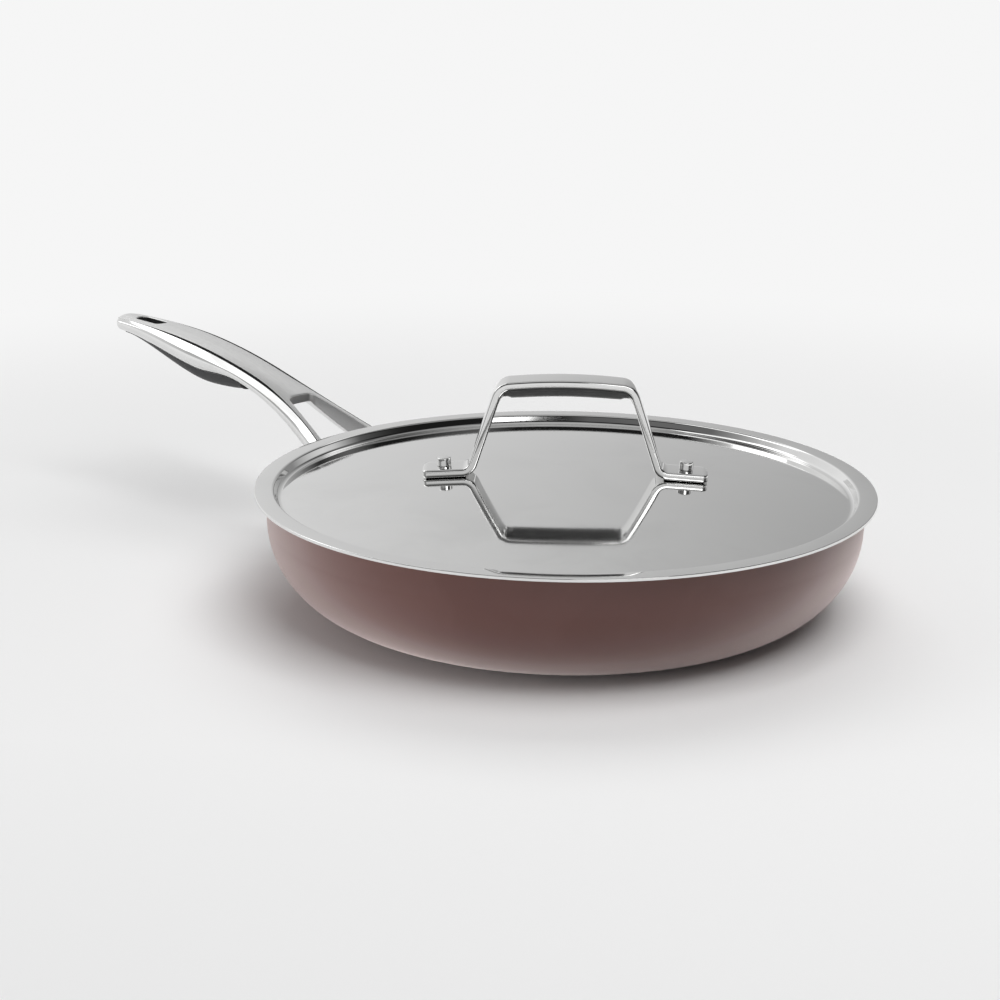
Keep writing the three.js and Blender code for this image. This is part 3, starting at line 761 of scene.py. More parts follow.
class FRYPAN_OT_pan_body(bpy.types.Operator):
    """Spins the drawn pan with its curved wall, round lip and flat base"""

    bl_idname = "frypan.pan_body"
    bl_label = "Pan body"

    def execute(self, context):
        pan = context.scene.pan_sizes
        lip = pan.wall / 2
        flat = [pan.base_radius * part for part in BASE_RINGS]
        profile = [(radius, 0) for radius in flat] + wall_curve(pan, 0)
        profile += arc((pan.rim_radius - lip, pan.height - lip), lip, 0, math.pi, LIP_STEPS)
        profile += wall_curve(pan, 1)[::-1]
        profile += [(radius, pan.base_thickness) for radius in flat[::-1]]
        body = spin_profile("pan_body_spun", profile)
        wear(body, finish(anodised_brown), finish(cooking_surface))
        for face in body.data.polygons:
            outward = face.normal.x * face.center.x + face.normal.y * face.center.y
            over_base = face.normal.z > FACING_UP and face.center.z < pan.height / 2
            face.material_index = INSIDE if outward < 0 or over_base else OUTSIDE
        for bore in pan_bores(context.scene):
            combine(body, bore, "DIFFERENCE")
        hand_over(body, "pan_body")
        return {"FINISHED"}


# Long handle, on the side of -X, with its reach measured from the pan's axis

# Facets and finishes of the casting
FACE_STEPS = 10
GROOVE_STEPS = 3
FLANK_STEPS = 4
TIP_STEPS = 14
FORK_STEPS = 12
CUT_EDGE_STEPS = 6
PLATE_STEPS = 40
PLATE_SECTION_STEPS = 16
# The third finish is painted shade, in the groove and on the hanging slot's walls.
SATIN, POLISHED, GROOVE, DARK_FORK = 0, 1, 2, 3

# Set points along the casting: where the grip swells most, where the neck ends, how the hollow fades, how the
# end face is eased, and where the groove runs out towards the tip and narrows towards the wall
SWELL_REACH = 125 * MM
NECK_BEFORE_GRIP = 3 * MM
WEB_FADE = 20 * MM
TIP_EASE = 2.5 * MM
TIP_EASE_DROP = 1.3 * MM
GROOVE_TO_TIP = (12 * MM, 80 * MM)
GROOVE_TO_WALL = (30 * MM, 75 * MM)
GROOVE_ON_ARMS = 0.3
GROOVE_LEAST = 0.03

# Parts of the casting's outline: the bottom of the groove by its width, the shoulder and the turn by the way
# out and the depth, the widest point by the depth, and the hollow by the width of the underside
GROOVE_BOTTOM = (0.8, 0.25)
SHOULDER_OUT, SHOULDER_DOWN, SHOULDER_EASE = 0.7, 0.2, 0.6
WIDEST_DOWN = 0.46
TURN_IN, TURN_DOWN = 0.15, 0.75
UNDER_EASE = 0.5
HOLLOW_PART = 0.6

# Cutters, and the plate on the wall
FORK_INTO_WALL = 5.6 * MM
CUTTER_FLOOR = 10 * MM
CUTTER_OVER = 0.5 * MM
CUT_EDGE_SWEEP = math.radians(72)
UPRIGHT = 0.1
PLATE_EASE = 1.2 * MM
LID_ROOM = 1 * MM
LIFT_ROOM = 100 * MM


def handle_start(scene):
    return scene.pan_sizes.height - scene.handle_sizes.below_rim


def handle_length(scene):
    return scene.handle_sizes.tip - scene.pan_sizes.rim_radius


def handle_top(scene, reach):
    handle = scene.handle_sizes
    back = max((handle.tip - reach) / handle_length(scene), 0)
    return handle_start(scene) + handle.rise * (1 - back**handle.sweep)


def neck_reach(scene):
    return scene.grip_sizes.start - NECK_BEFORE_GRIP


def blend(scene, reach, low, high, first, last):
    return mix(first, last, smoothstep(reach - scene.pan_sizes.rim_radius, low, high))


def towards_tip(scene, reach, grip, tip):
    return blend(scene, reach, SWELL_REACH, handle_length(scene), grip, tip)


def face_half_width(scene, reach):
    handle = scene.handle_sizes
    to_go = scene.pan_sizes.rim_radius + handle.flare - reach
    flare = max(to_go / handle.flare, 0) ** handle.flare_sweep
    grip = towards_tip(scene, reach, handle.face, handle.tip_face)
    corner = rounded_off(reach - (handle.tip - handle.tip_corner), handle.tip_corner)
    return grip + (handle.root_face - handle.face) * flare - corner


def flank_half_width(scene, reach):
    handle = scene.handle_sizes
    return face_half_width(scene, reach) + towards_tip(scene, reach, handle.bevel, handle.tip_bevel)


def under_half_width(scene, reach):
    handle = scene.handle_sizes
    return flank_half_width(scene, reach) - towards_tip(scene, reach, handle.undercut, handle.tip_undercut)


def casting_depth(scene, reach):
    handle = scene.handle_sizes
    neck = neck_reach(scene)
    to_neck = blend(scene, reach, 0, neck, handle.root_depth, handle.neck_depth)
    to_grip = blend(scene, reach, neck, SWELL_REACH, to_neck, handle.grip_depth)
    return towards_tip(scene, reach, to_grip, handle.tip_depth)


def groove_part(scene, reach):
    """The groove runs out before the tip, is widest along the grip and stays narrow on the arms."""
    to_tip = smoothstep(scene.handle_sizes.tip - reach, *GROOVE_TO_TIP)
    to_wall = smoothstep(reach - scene.pan_sizes.rim_radius, *GROOVE_TO_WALL)
    return max(to_tip * mix(GROOVE_ON_ARMS, 1, to_wall), GROOVE_LEAST)


def casting_half(scene, reach):
    """Half of the casting's outline from the middle of the face to the middle of the underside."""
    handle = scene.handle_sizes
    face = face_half_width(scene, reach)
    flank = flank_half_width(scene, reach)
    under = under_half_width(scene, reach)
    depth = casting_depth(scene, reach)
    neck = neck_reach(scene)
    middle = blend(scene, reach, neck - WEB_FADE, neck, handle.web_depth, depth)
    eased = rounded_off(reach - (handle.tip - TIP_EASE), TIP_EASE) * TIP_EASE_DROP / TIP_EASE
    width = handle.groove_width * groove_part(scene, reach)
    sunk = handle.groove_depth * groove_part(scene, reach)
    half = [(y, handle.crown * (y / face) ** 2 + eased) for y in steps(0, face - width, FACE_STEPS)]
    edge = handle.crown + eased
    half += [(face - part * width, edge + sunk) for part in GROOVE_BOTTOM]
    half += flowing(
        [
            (face, edge),
            (mix(face, flank, SHOULDER_OUT), handle.crown + SHOULDER_DOWN * depth + SHOULDER_EASE * eased),
            (flank, WIDEST_DOWN * depth),
            (mix(flank, under, TURN_IN), TURN_DOWN * depth),
            (under, depth - UNDER_EASE * eased),
        ],
        FLANK_STEPS,
    )
    half += [(HOLLOW_PART * under, middle), (0, middle)]
    return half


def mirrored_ring(scene, reach, half):
    """A ring across the handle from half of its outline, given as half width and depth."""
    top = handle_top(scene, reach)
    right = [Vector((-reach, y, top - depth)) for y, depth in half]
    left = [Vector((-reach, -y, top - depth)) for y, depth in half if y > 0]
    return right + left[::-1]


def fork_half_width(scene, reach):
    handle = scene.handle_sizes
    rim = scene.pan_sizes.rim_radius
    root = face_half_width(scene, rim + handle.fork_root)
    return mix(handle.root_face, root, (reach - rim) / handle.fork_root) - handle.arm_face


def fork_outline(scene, grow):
    """The opening between the arms seen from above, grown all round."""
    handle = scene.handle_sizes
    start = scene.pan_sizes.rim_radius - FORK_INTO_WALL
    root = scene.pan_sizes.rim_radius + handle.fork_root
    half = [
        (start, fork_half_width(scene, start) + grow),
        (root + grow, fork_half_width(scene, root) + grow),
        (root + grow, 0),
    ]
    upper = rounded_path(half, [handle.fork_corner + grow])
    arm = [mix(upper[0], upper[1], part) for part in steps(0, 1, FORK_STEPS)]
    upper = arm + upper[2:]
    return upper + [Vector((p.x, -p.y)) for p in upper[-2::-1]]


def slot_outline(scene, grow):
    """The hanging slot seen from above, grown all round."""
    handle = scene.handle_sizes
    centre = handle.tip - handle.slot_from_tip - handle.slot_length / 2
    corner = handle.slot_corner + grow
    x = handle.slot_length / 2 + grow - corner
    y = handle.slot_width / 2 + grow - corner
    outline = []
    for i, (across, up) in enumerate(((x, y), (-x, y), (-x, -y), (x, -y))):
        turn = i * math.pi / 2
        outline += arc((centre + across, up), corner, turn, turn + math.pi / 2, BEND_STEPS)
    return [Vector(p) for p in outline]


def edged_cutter(scene, name, outline, edge):
    """A cutter through the handle that also rounds the edge it leaves on the face."""
    handle = scene.handle_sizes

    def ring(grow, depth):
        points = []
        for p in outline(scene, grow):
            face = face_half_width(scene, p.x)
            top = handle_top(scene, p.x) - handle.crown * (p.y / face) ** 2
            points.append(Vector((-p.x, p.y, top - depth)))
        return points

    def level(grow, height):
        return [Vector((-p.x, p.y, height)) for p in outline(scene, grow)]

    rings = [level(0, CUTTER_FLOOR)]
    for turn in steps(0, CUT_EDGE_SWEEP, CUT_EDGE_STEPS):
        grown = edge * (1 - math.cos(turn))
        left = edge * (1 - math.sin(turn))
        rings.append(ring(grown, left))
    grown += (CUTTER_OVER + left) * math.tan(CUT_EDGE_SWEEP)
    rings += [ring(grown, -CUTTER_OVER), level(grown, 2 * handle_top(scene, handle.tip))]
    return skin_rings(name, rings)


def wall_plate(scene):
    """A plate bent to the wall, rounded at its corners and along its outer edge."""
    pan = scene.pan_sizes
    handle = scene.handle_sizes
    half_width = handle.root_face + handle.plate_margin
    centre = handle_start(scene) - handle.plate_height / 2
    out = handle.plate + scene.rivet_sizes.gap
    rings = []
    for y in [half_width * math.sin(a) for a in steps(-math.pi / 2, math.pi / 2, PLATE_STEPS)]:
        corner = rounded_off(abs(y) - (half_width - handle.plate_corner), handle.plate_corner)
        half = handle.plate_height / 2 - corner
        side = rounded_off(abs(y) - (half_width - PLATE_EASE), PLATE_EASE)
        section = []
        for up in steps(-half, half, PLATE_SECTION_STEPS):
            brim = rounded_off(abs(up) - (half - PLATE_EASE), PLATE_EASE)
            section.append((wall_radius(pan, centre + up, 0) + out - max(brim, side), centre + up))
        section += [(wall_radius(pan, height, 0) - pan.wall / 2, height) for _, height in section[::-1]]
        rings.append([Vector((-math.sqrt(radius**2 - y**2), y, height)) for radius, height in section])
    return skin_rings("wall_plate", rings)


def lid_space(scene):
    """The room that the lid needs to come straight up."""
    low = lid_plane(scene) - scene.lid_sizes.hem_drop - LID_ROOM
    high = low + LIFT_ROOM
    radius = scene.lid_sizes.radius + LID_ROOM
    return spin_profile("lid_space", [(0, low), (radius, low), (radius, high), (0, high)])


def wear_handle_finishes(piece):
    wear(piece, finish(satin_steel), finish(polished_steel), finish(painted_groove_shade), finish(dark_fork_steel))


def paint(piece, finish_index):
    """Sends all faces of a plate or cutter to one of the handle's finishes."""
    wear_handle_finishes(piece)
    for face in piece.data.polygons:
        face.material_index = finish_index


class FRYPAN_OT_long_handle(bpy.types.Operator):
    """Skins the cast handle, cuts its fork and hanging slot, and joins the plate on the wall"""

    bl_idname = "frypan.long_handle"
    bl_label = "Long handle"

    def execute(self, context):
        scene = context.scene
        pan = scene.pan_sizes
        handle = scene.handle_sizes
        root = pan.rim_radius - 2 * pan.wall
        straight = handle.tip - handle.tip_corner
        reaches = steps(root, straight, HANDLE_STEPS)[:-1]
        reaches += [straight + handle.tip_corner * math.sin(a) for a in steps(0, math.pi / 2, TIP_STEPS)]
        halves = [casting_half(scene, reach) for reach in reaches]
        rings = [mirrored_ring(scene, reach, half) for reach, half in zip(reaches, halves)]
        # The groove's faces get the painted shade.
        right = [SATIN] * FACE_STEPS + [GROOVE] * GROOVE_STEPS
        right += [POLISHED] * (len(halves[0]) - 1 - len(right))
        casting = skin_rings("pan_handle_cast", rings, right + right[::-1])
        wear_handle_finishes(casting)
        # The slot's walls get the painted shade.
        for name, outline, edge, walls in (
            ("fork_opening", fork_outline, handle.fork_edge, DARK_FORK),
            ("hanging_slot", slot_outline, handle.slot_edge, GROOVE),
        ):
            cutter = edged_cutter(scene, name, outline, edge)
            paint(cutter, SATIN)
            for face in cutter.data.polygons:
                if abs(face.normal.z) < UPRIGHT:
                    face.material_index = walls
            combine(casting, cutter, "DIFFERENCE")
        plate = wall_plate(scene)
        paint(plate, POLISHED)
        combine(casting, plate, "UNION")
        for cutter in (wall_envelope(pan, 0, scene.rivet_sizes.gap), lid_space(scene), *pan_bores(scene)):
            paint(cutter, POLISHED)
            combine(casting, cutter, "DIFFERENCE")
        hand_over(casting, "pan_handle")
        return {"FINISHED"}


# Set points of the grip: its least swell at the front and the power that it rises by, its least swell at the
# back, how its rings crowd to the front, and its belly by parts of the half width and the swell
GRIP_FRONT = 0.02
GRIP_RISE = 0.3
GRIP_BACK = 0.06
GRIP_CROWDING = 1.4
GRIP_SEAT_STEPS = 4
GRIP_BELLY_STEPS = 3
GRIP_BELLY = ((1, 0), (0.985, 0.25), (0.94, 0.5), (0.82, 0.75), (0.62, 0.91), (0.32, 0.985), (0, 1))


def grip_ends(scene):
    """Where the grip starts and where it ends."""
    grip = scene.grip_sizes
    rim = scene.pan_sizes.rim_radius
    return rim + grip.start, rim + handle_length(scene) - grip.from_tip


def grip_half(scene, reach):
    """Half of the grip's outline: flat against the casting and rounded below."""
    gap = scene.rivet_sizes.gap
    first, last = grip_ends(scene)
    part = (reach - first) / (last - first)
    swell = scene.grip_sizes.bulge * max(part, GRIP_FRONT) ** GRIP_RISE * max(1 - part, GRIP_BACK)
    half = under_half_width(scene, reach) - gap
    seat = casting_depth(scene, reach) + gap
    flat = [(across, seat) for across in steps(0, half, GRIP_SEAT_STEPS)[:-1]]
    belly = [(across * half, seat + down * swell) for across, down in GRIP_BELLY]
    return flat + flowing(belly, GRIP_BELLY_STEPS)


class FRYPAN_OT_under_grip(bpy.types.Operator):
    """Skins the dark grip under the handle and cuts the hanging slot through it"""

    bl_idname = "frypan.under_grip"
    bl_label = "Under-grip"

    def execute(self, context):
        scene = context.scene
        first, last = grip_ends(scene)
        reaches = [mix(first, last, part**GRIP_CROWDING) for part in steps(0, 1, GRIP_STEPS)]
        rings = [mirrored_ring(scene, reach, grip_half(scene, reach)) for reach in reaches]
        swell = skin_rings("handle_under_grip_moulded", rings)
        outline = slot_outline(scene, scene.rivet_sizes.gap)
        heights = (CUTTER_FLOOR, 2 * handle_top(scene, last))
        slot = [[Vector((-p.x, p.y, height)) for p in outline] for height in heights]
        combine(swell, skin_rings("slot_in_grip", slot), "DIFFERENCE")
        wear(swell, finish(grip_black))
        hand_over(swell, "handle_under_grip")
        return {"FINISHED"}


# Rivets lie along +Z, with the seat of the head at Z = 0 and the tail behind the grip length

# Ends of the bores, for the pan in walls, and the room between a pan rivet and its arm
PAN_BORE = (-5, 2)
LID_BORE = (-20 * MM, 10 * MM)
ARM_ROOM = 1.5 * MM

# Round edge and crown of each head and tail
KNOB_STEPS = 6
PAN_HEAD = (1.1 * MM, 0.5 * MM)
PAN_TAIL = (0.9 * MM, 0.5 * MM)
LID_HEAD = (0.6 * MM, 0.2 * MM)
LID_TAIL = (0.7 * MM, 0.3 * MM)


def rivet_bore(radius, low, high, matrix):
    """A round cutter along a rivet, in the place that a matrix gives it."""
    bore = spin_profile("bore", [(0, low), (radius, low), (radius, high), (0, high)], RIVET_STEPS)
    place(bore, matrix)
    return bore


def pan_rivet_place(scene, side):
    """Puts a pan rivet's seat on the inside of the wall, square to it, at one side of the handle."""
    pan = scene.pan_sizes
    handle = scene.handle_sizes
    rivets = scene.rivet_sizes
    height = handle_start(scene) - handle.plate_height / 2
    radius = wall_radius(pan, height, 1)
    tail_end = pan.rim_radius + handle.plate + rivets.pan_tail_height
    offset = fork_half_width(scene, tail_end) - rivets.pan_tail - ARM_ROOM
    angle = side * math.asin(offset / radius)
    above = wall_radius(pan, height + pan.wall / 2, 1)
    below = wall_radius(pan, height - pan.wall / 2, 1)
    lean = math.atan((above - below) / pan.wall)
    turned = Matrix.Rotation(math.pi + angle, 4, "Z")
    moved = Matrix.Translation((radius, 0, height))
    return turned @ moved @ Matrix.Rotation(lean - math.pi / 2, 4, "Y")


def pan_bores(scene):
    """Cutters for the two rivets through the wall and the handle's plate."""
    radius = scene.rivet_sizes.pan_shank + scene.rivet_sizes.gap
    low, high = (count * scene.pan_sizes.wall for count in PAN_BORE)
    return [rivet_bore(radius, low, high, pan_rivet_place(scene, side)) for side in SIDES]


def knob_profile(radius, height, edge, crown):
    """A rivet's head from its rim to its middle: an upright side, a round edge and a slight crown."""
    top = height - crown
    inner = radius - edge
    points = [(radius, 0), *arc((inner, top - edge), edge, 0, math.pi / 2, KNOB_STEPS)]
    for part in steps(1, 0, KNOB_STEPS)[1:]:
        points.append((inner * part, top + crown * (1 - part**2)))
    return points


class FRYPAN_OT_pan_rivets(bpy.types.Operator):
    """Spins the rivets that hold the handle's plate to the wall"""

    bl_idname = "frypan.pan_rivets"
    bl_label = "Pan rivets"

    def execute(self, context):
        pan = context.scene.pan_sizes
        rivets = context.scene.rivet_sizes
        plate = context.scene.handle_sizes.plate + 2 * rivets.gap
        grip = pan.wall + plate
        sunk = pan.wall / 2
        matrix = pan_rivet_place(context.scene, 1)
        head = knob_profile(rivets.pan_head, rivets.pan_head_height + sunk, *PAN_HEAD)
        head = [(0, -sunk), *[(radius, height - sunk) for radius, height in head]]
        head = spin_profile("rivet_head", head, RIVET_STEPS)
        place(head, matrix)
        combine(head, wall_envelope(pan, 1, -rivets.gap), "INTERSECT")
        tail = knob_profile(rivets.pan_tail, rivets.pan_tail_height + sunk, *PAN_TAIL)
        tail = [(0, sunk - grip), *[(radius, sunk - grip - height) for radius, height in tail]]
        tail = spin_profile("rivet_tail", tail, RIVET_STEPS)
        place(tail, matrix)
        combine(tail, wall_envelope(pan, 0, plate), "DIFFERENCE")
        rivet = rivet_bore(rivets.pan_shank, -grip - sunk, sunk, matrix)
        combine(rivet, head, "UNION")
        combine(rivet, tail, "UNION")
        rename(rivet, "handle_rivet_a_set")
        wear(rivet, finish(polished_steel))
        twin = copy_of(rivet, "handle_rivet_b_set")
        place(twin, Matrix.Scale(-1, 4, (0, 1, 0)))
        turn_outwards(twin)
        hand_over(rivet, "handle_rivet_a")
        hand_over(twin, "handle_rivet_b")
        return {"FINISHED"}


# Lid

# Facets, the room that the trough's bend takes from the dome, and how flat the hem's lower brim is
LID_STEPS = 256
BRIM_STEPS = 6
DOME_END = 4 * MM
BRIM_PART = 0.3


def lid_plane(scene):
    """Height of the middle of the flange's sheet."""
    return scene.pan_sizes.height + scene.rivet_sizes.gap + scene.lid_sizes.sheet / 2


def recess_radius(scene):
    pan = scene.pan_sizes
    lid = scene.lid_sizes
    return pan.rim_radius - pan.wall - lid.fit - lid.sheet / 2


def dome_radius(scene):
    return recess_radius(scene) - scene.lid_sizes.recess_draft


def dome_sphere(scene):
    lid = scene.lid_sizes
    rise = lid.crown + lid.recess_depth
    return (dome_radius(scene) ** 2 + rise**2) / (2 * rise)


def dome_height(scene, radius):
    """Height of the dome over the flange."""
    sphere = dome_sphere(scene)
    return scene.lid_sizes.crown - sphere + math.sqrt(sphere**2 - radius**2)


def lid_place(scene):
    return Matrix.Translation((0, 0, lid_plane(scene))) @ Matrix.Rotation(LID_TURN, 4, "Z")


class FRYPAN_OT_lid_shell(bpy.types.Operator):
    """Spins the pressed lid: dome, recess, flange and turned-down hem"""

    bl_idname = "frypan.lid_shell"
    bl_label = "Lid shell"

    def execute(self, context):
        scene = context.scene
        lid = scene.lid_sizes
        half = lid.sheet / 2
        trough = dome_radius(scene)
        edge = lid.radius - half
        dome = [Vector((r, dome_height(scene, r))) for r in steps(0, trough - DOME_END, DOME_STEPS)]
        corners = [
            dome[-1],
            (trough, -lid.recess_depth),
            (recess_radius(scene), 0),
            (edge, 0),
            (edge, -lid.hem_drop),
        ]
        path = dome[:-1] + rounded_path(corners, [lid.trough_bend, lid.recess_bend, lid.hem_bend])
        normals = left_normals(path)
        flange_end = edge - lid.hem_bend - MERGE
        upper = [tuple(p + n * half) for p, n in zip(path, normals) if p.x < flange_end]
        corner = (edge + half - lid.hem_edge, half - lid.hem_edge)
        upper += arc(corner, lid.hem_edge, math.pi / 2, 0, BEND_STEPS)
        upper.append((edge + half, -lid.hem_drop))
        around = arc(path[-1], half, 0, -math.pi, BRIM_STEPS)[1:-1]
        brim = [(x, mix(-lid.hem_drop, y, BRIM_PART)) for x, y in around]
        lower = [tuple(p - n * half) for p, n in zip(path, normals)]
        shell = spin_profile("lid_shell_pressed", upper + brim + lower[::-1], LID_STEPS)
        for bore in lid_bores(scene):
            combine(shell, bore, "DIFFERENCE")
        place(shell, lid_place(scene))
        wear(shell, finish(lid_steel))
        hand_over(shell, "lid_shell")
        return {"FINISHED"}


# Lid strap

# Facets along the strap, and the part of the bar's half length that lies on its crown
BAR_STEPS = 12
LEG_STEPS = 12
TOE_STEPS = 10
CROWNED_PART = 0.72

# By the fall from the bar to the toe: where the bar's swell ends and where the legs' swell fades. Then how
# much a toe thins as it rounds off, and the slope from which a face under the bar gets the painted shade
SWELL_END = 0.2
SWELL_FADE = (0.5, 0.8)
TOE_THINNING = 0.2
FACING_DOWN = -0.3
MIRROR_SIDE, SHADED_UNDERSIDE = 0, 1


def foot_centre(scene):
    strap = scene.strap_sizes
    heel = strap.bar + strap.height * math.tan(strap.lean)
    return heel + strap.foot_bend + strap.heel + scene.rivet_sizes.lid_head


def strap_foot(scene):
    """Slope of a foot on the dome, the middle of the foot and its direction."""
    reach = foot_centre(scene)
    slope = math.asin(reach / dome_sphere(scene))
    lift = scene.lid_sizes.sheet / 2 + scene.rivet_sizes.gap + scene.strap_sizes.thickness / 2
    rest = Vector((reach, dome_height(scene, reach)))
    foot = rest + Vector((math.sin(slope), math.cos(slope))) * lift
    return slope, foot, Vector((math.cos(slope), -math.sin(slope)))


def strap_path(scene):
    """The strap's centre line from the middle of the bar to the toe of a foot, which lies on the dome."""
    strap = scene.strap_sizes
    _, foot, along = strap_foot(scene)
    toe = foot + along * (scene.rivet_sizes.lid_head + strap.toe)
    top = foot.y + strap.height
    crowned = steps(0, CROWNED_PART * strap.bar, BAR_STEPS)
    bar = [Vector((x, top - strap.crown * (x / strap.bar) ** 2)) for x in crowned]
    slope = -2 * strap.crown * CROWNED_PART / strap.bar
    corner = Vector((strap.bar, bar[-1].y + slope * (strap.bar - bar[-1].x)))
    leg = Vector((math.sin(strap.lean), -math.cos(strap.lean)))
    away = foot - corner
    run = (away.x * along.y - away.y * along.x) / (leg.x * along.y - leg.y * along.x)
    heel = corner + leg * run
    bent = rounded_path([bar[-1], corner, heel, toe], [strap.bar_bend, strap.foot_bend])
    upper_bend, foot_bend = bent[1 : 2 + BEND_STEPS], bent[2 + BEND_STEPS : -1]
    legs = [mix(upper_bend[-1], foot_bend[0], part) for part in steps(0, 1, LEG_STEPS)[1:-1]]
    tuck = [toe - along * strap.foot_corner * (1 - math.sin(a)) for a in steps(0, math.pi / 2, TOE_STEPS)]
    return bar + upper_bend + legs + foot_bend + tuck


def strap_section(half_width, half, edge):
    """A flat bar with rounded edges, as pairs of place across and place outwards."""
    section = []
    across, out = half_width - edge, half - edge
    for i, (side, up) in enumerate(((1, 1), (-1, 1), (-1, -1), (1, -1))):
        turn = i * math.pi / 2
        section += arc((side * across, up * out), edge, turn, turn + math.pi / 2, EDGE_STEPS)
        if side == up:
            face = steps(side * across, -side * across, STRAP_STEPS)[1:-1]
            section += [(x, up * half) for x in face]
    return section


def strap_ring(strap, point, normal, swell, tucked):
    """Strap section: a bar with a slight crown outside that swells on the finger side."""
    half_width = strap.width / 2 - tucked
    half = strap.thickness / 2 - TOE_THINNING * tucked
    ring = []
    for across, out in strap_section(half_width, half, strap.edge):
        fall = (across / half_width) ** 2
        out -= strap.outer_crown * fall if out > 0 else swell * (1 - fall)
        ring.append(Vector((point.x + normal.x * out, across, point.y + normal.y * out)))
    return ring


def lid_rivet_place(scene, side):
    """Puts a lid rivet's seat on a foot of the strap, square to the dome."""
    slope, foot, _ = strap_foot(scene)
    lift = scene.strap_sizes.thickness / 2 + scene.rivet_sizes.gap
    seat = (side * (foot.x + lift * math.sin(slope)), 0, foot.y + lift * math.cos(slope))
    return Matrix.Translation(seat) @ Matrix.Rotation(side * slope, 4, "Y")


def lid_bores(scene):
    """Cutters for the two rivets through the strap's feet and the lid."""
    radius = scene.rivet_sizes.lid_shank + scene.rivet_sizes.gap
    return [rivet_bore(radius, *LID_BORE, lid_rivet_place(scene, side)) for side in SIDES]


class FRYPAN_OT_lid_strap(bpy.types.Operator):
    """Skins the strap handle of the lid along its bent path"""

    bl_idname = "frypan.lid_strap"
    bl_label = "Lid strap"

    def execute(self, context):
        scene = context.scene
        strap = scene.strap_sizes
        points = strap_path(scene)
        top, toe = points[0].y, points[-1]
        half = []
        for point, normal in zip(points, left_normals(points)):
            fallen = (top - point.y) / (top - toe.y)
            swell = mix(strap.swell, strap.leg_swell, smoothstep(fallen, 0, SWELL_END))
            fade = 1 - smoothstep(fallen, *SWELL_FADE)
            tucked = rounded_off(strap.foot_corner - (toe - point).length, strap.foot_corner)
            half.append(strap_ring(strap, point, normal, swell * fade, tucked))
        mirrored = [[Vector((-p.x, p.y, p.z)) for p in ring] for ring in half[:0:-1]]
        bent = skin_rings("lid_handle_bent", mirrored + half)
        wear(bent, finish(polished_steel), finish(painted_bar_shade))
        # Faces under the bar, short of its bends, get the painted shade.
        shade_reach = strap.bar - strap.finger_side_end
        for face in bent.data.polygons:
            under_bar = face.normal.z < FACING_DOWN and abs(face.center.x) < shade_reach
            face.material_index = SHADED_UNDERSIDE if under_bar else MIRROR_SIDE
        for bore in lid_bores(scene):
            combine(bent, bore, "DIFFERENCE")
        place(bent, lid_place(scene))
        hand_over(bent, "lid_handle")
        return {"FINISHED"}


class FRYPAN_OT_lid_rivets(bpy.types.Operator):
    """Spins the rivets that hold the strap to the lid"""

    bl_idname = "frypan.lid_rivets"
    bl_label = "Lid rivets"

    def execute(self, context):
        scene = context.scene
        rivets = scene.rivet_sizes
        grip = scene.lid_sizes.sheet + scene.strap_sizes.thickness + 3 * rivets.gap
        tail = knob_profile(rivets.lid_tail, rivets.lid_tail_height, *LID_TAIL)
        head = knob_profile(rivets.lid_head, rivets.lid_head_height, *LID_HEAD)
        profile = [(radius, -grip - height) for radius, height in tail[::-1]]
        profile += [(rivets.lid_shank, -grip), (rivets.lid_shank, 0), *head]
        rivet = spin_profile("lid_rivet_a_set", profile, RIVET_STEPS)
        place(rivet, lid_place(scene) @ lid_rivet_place(scene, 1))
        wear(rivet, finish(polished_steel))
        twin = copy_of(rivet, "lid_rivet_b_set")
        place(twin, Matrix.Rotation(math.pi, 4, "Z"))
        hand_over(rivet, "lid_rivet_a")
        hand_over(twin, "lid_rivet_b")
        return {"FINISHED"}


# Stage: table, lamps, sky and camera. Its plan has x to the camera's right, y away from it and z up

VIEW_TURN = math.radians(40)
TABLE_RADIUS = 12.0
TABLE_STEPS = 96
TABLE_INSET = 0.9 * TABLE_RADIUS

# Metres over which the shadow on the table fades into the backdrop, and over which painted shade darkens the
# table towards the camera and gives way again behind it
SHADOW_FADE = (0.24, 0.9)
FRONT_SHADE_START = (-0.5, -0.2)
FRONT_SHADE_END = (-1.6, -0.5)

# How much the sky counts for gathered light
GATHERED_LIGHT = 0.65

# Name, place in the plan, size and power of each soft box, then whether it lights matt surfaces and whether
# shiny ones mirror it
SOFT_BOXES = (
    ("box_key", (0.42, -0.5, 1.5), (1.3, 1.3), 16.0, True, False),
    ("box_fill", (0.1, -1.1, 0.9), (1.0, 0.6), 1.0, True, False),
    ("box_back", (0.1, 1.0, 1.4), (1.5, 0.9), 8.5, True, False),
    ("strip_left", (-0.95, -0.2, 0.07), (1.0, 0.12), 5.0, True, False),
    ("box_front", (0.51, -1.4, 0.82), (0.9, 0.42), 3.0, False, True),
    ("card_left", (-0.89, 0.3, 1.0), (0.6, 1.1), 2.35, False, True),
)

CAMERA_TARGET = Vector((0, 0, 0.0607))
CAMERA_DISTANCE = 1.0
CAMERA_HEIGHT = math.radians(15.464)
CAMERA_PAN = math.radians(1.926)
CAMERA_TILT = math.radians(-0.527)
CAMERA_ROLL = math.radians(0.492)
CAMERA_LENS = 71.643
CAMERA_NEAR = 10 * MM


def seen_directly(tree):
    """1 for what the camera, a mirror or a clear piece looks at, 0 for light that is gathered."""
    path = tree.nodes.new("ShaderNodeLightPath").outputs
    shown = Level(tree, path["Is Camera Ray"]).or_more(path["Is Glossy Ray"])
    return shown.or_more(path["Is Transmission Ray"])


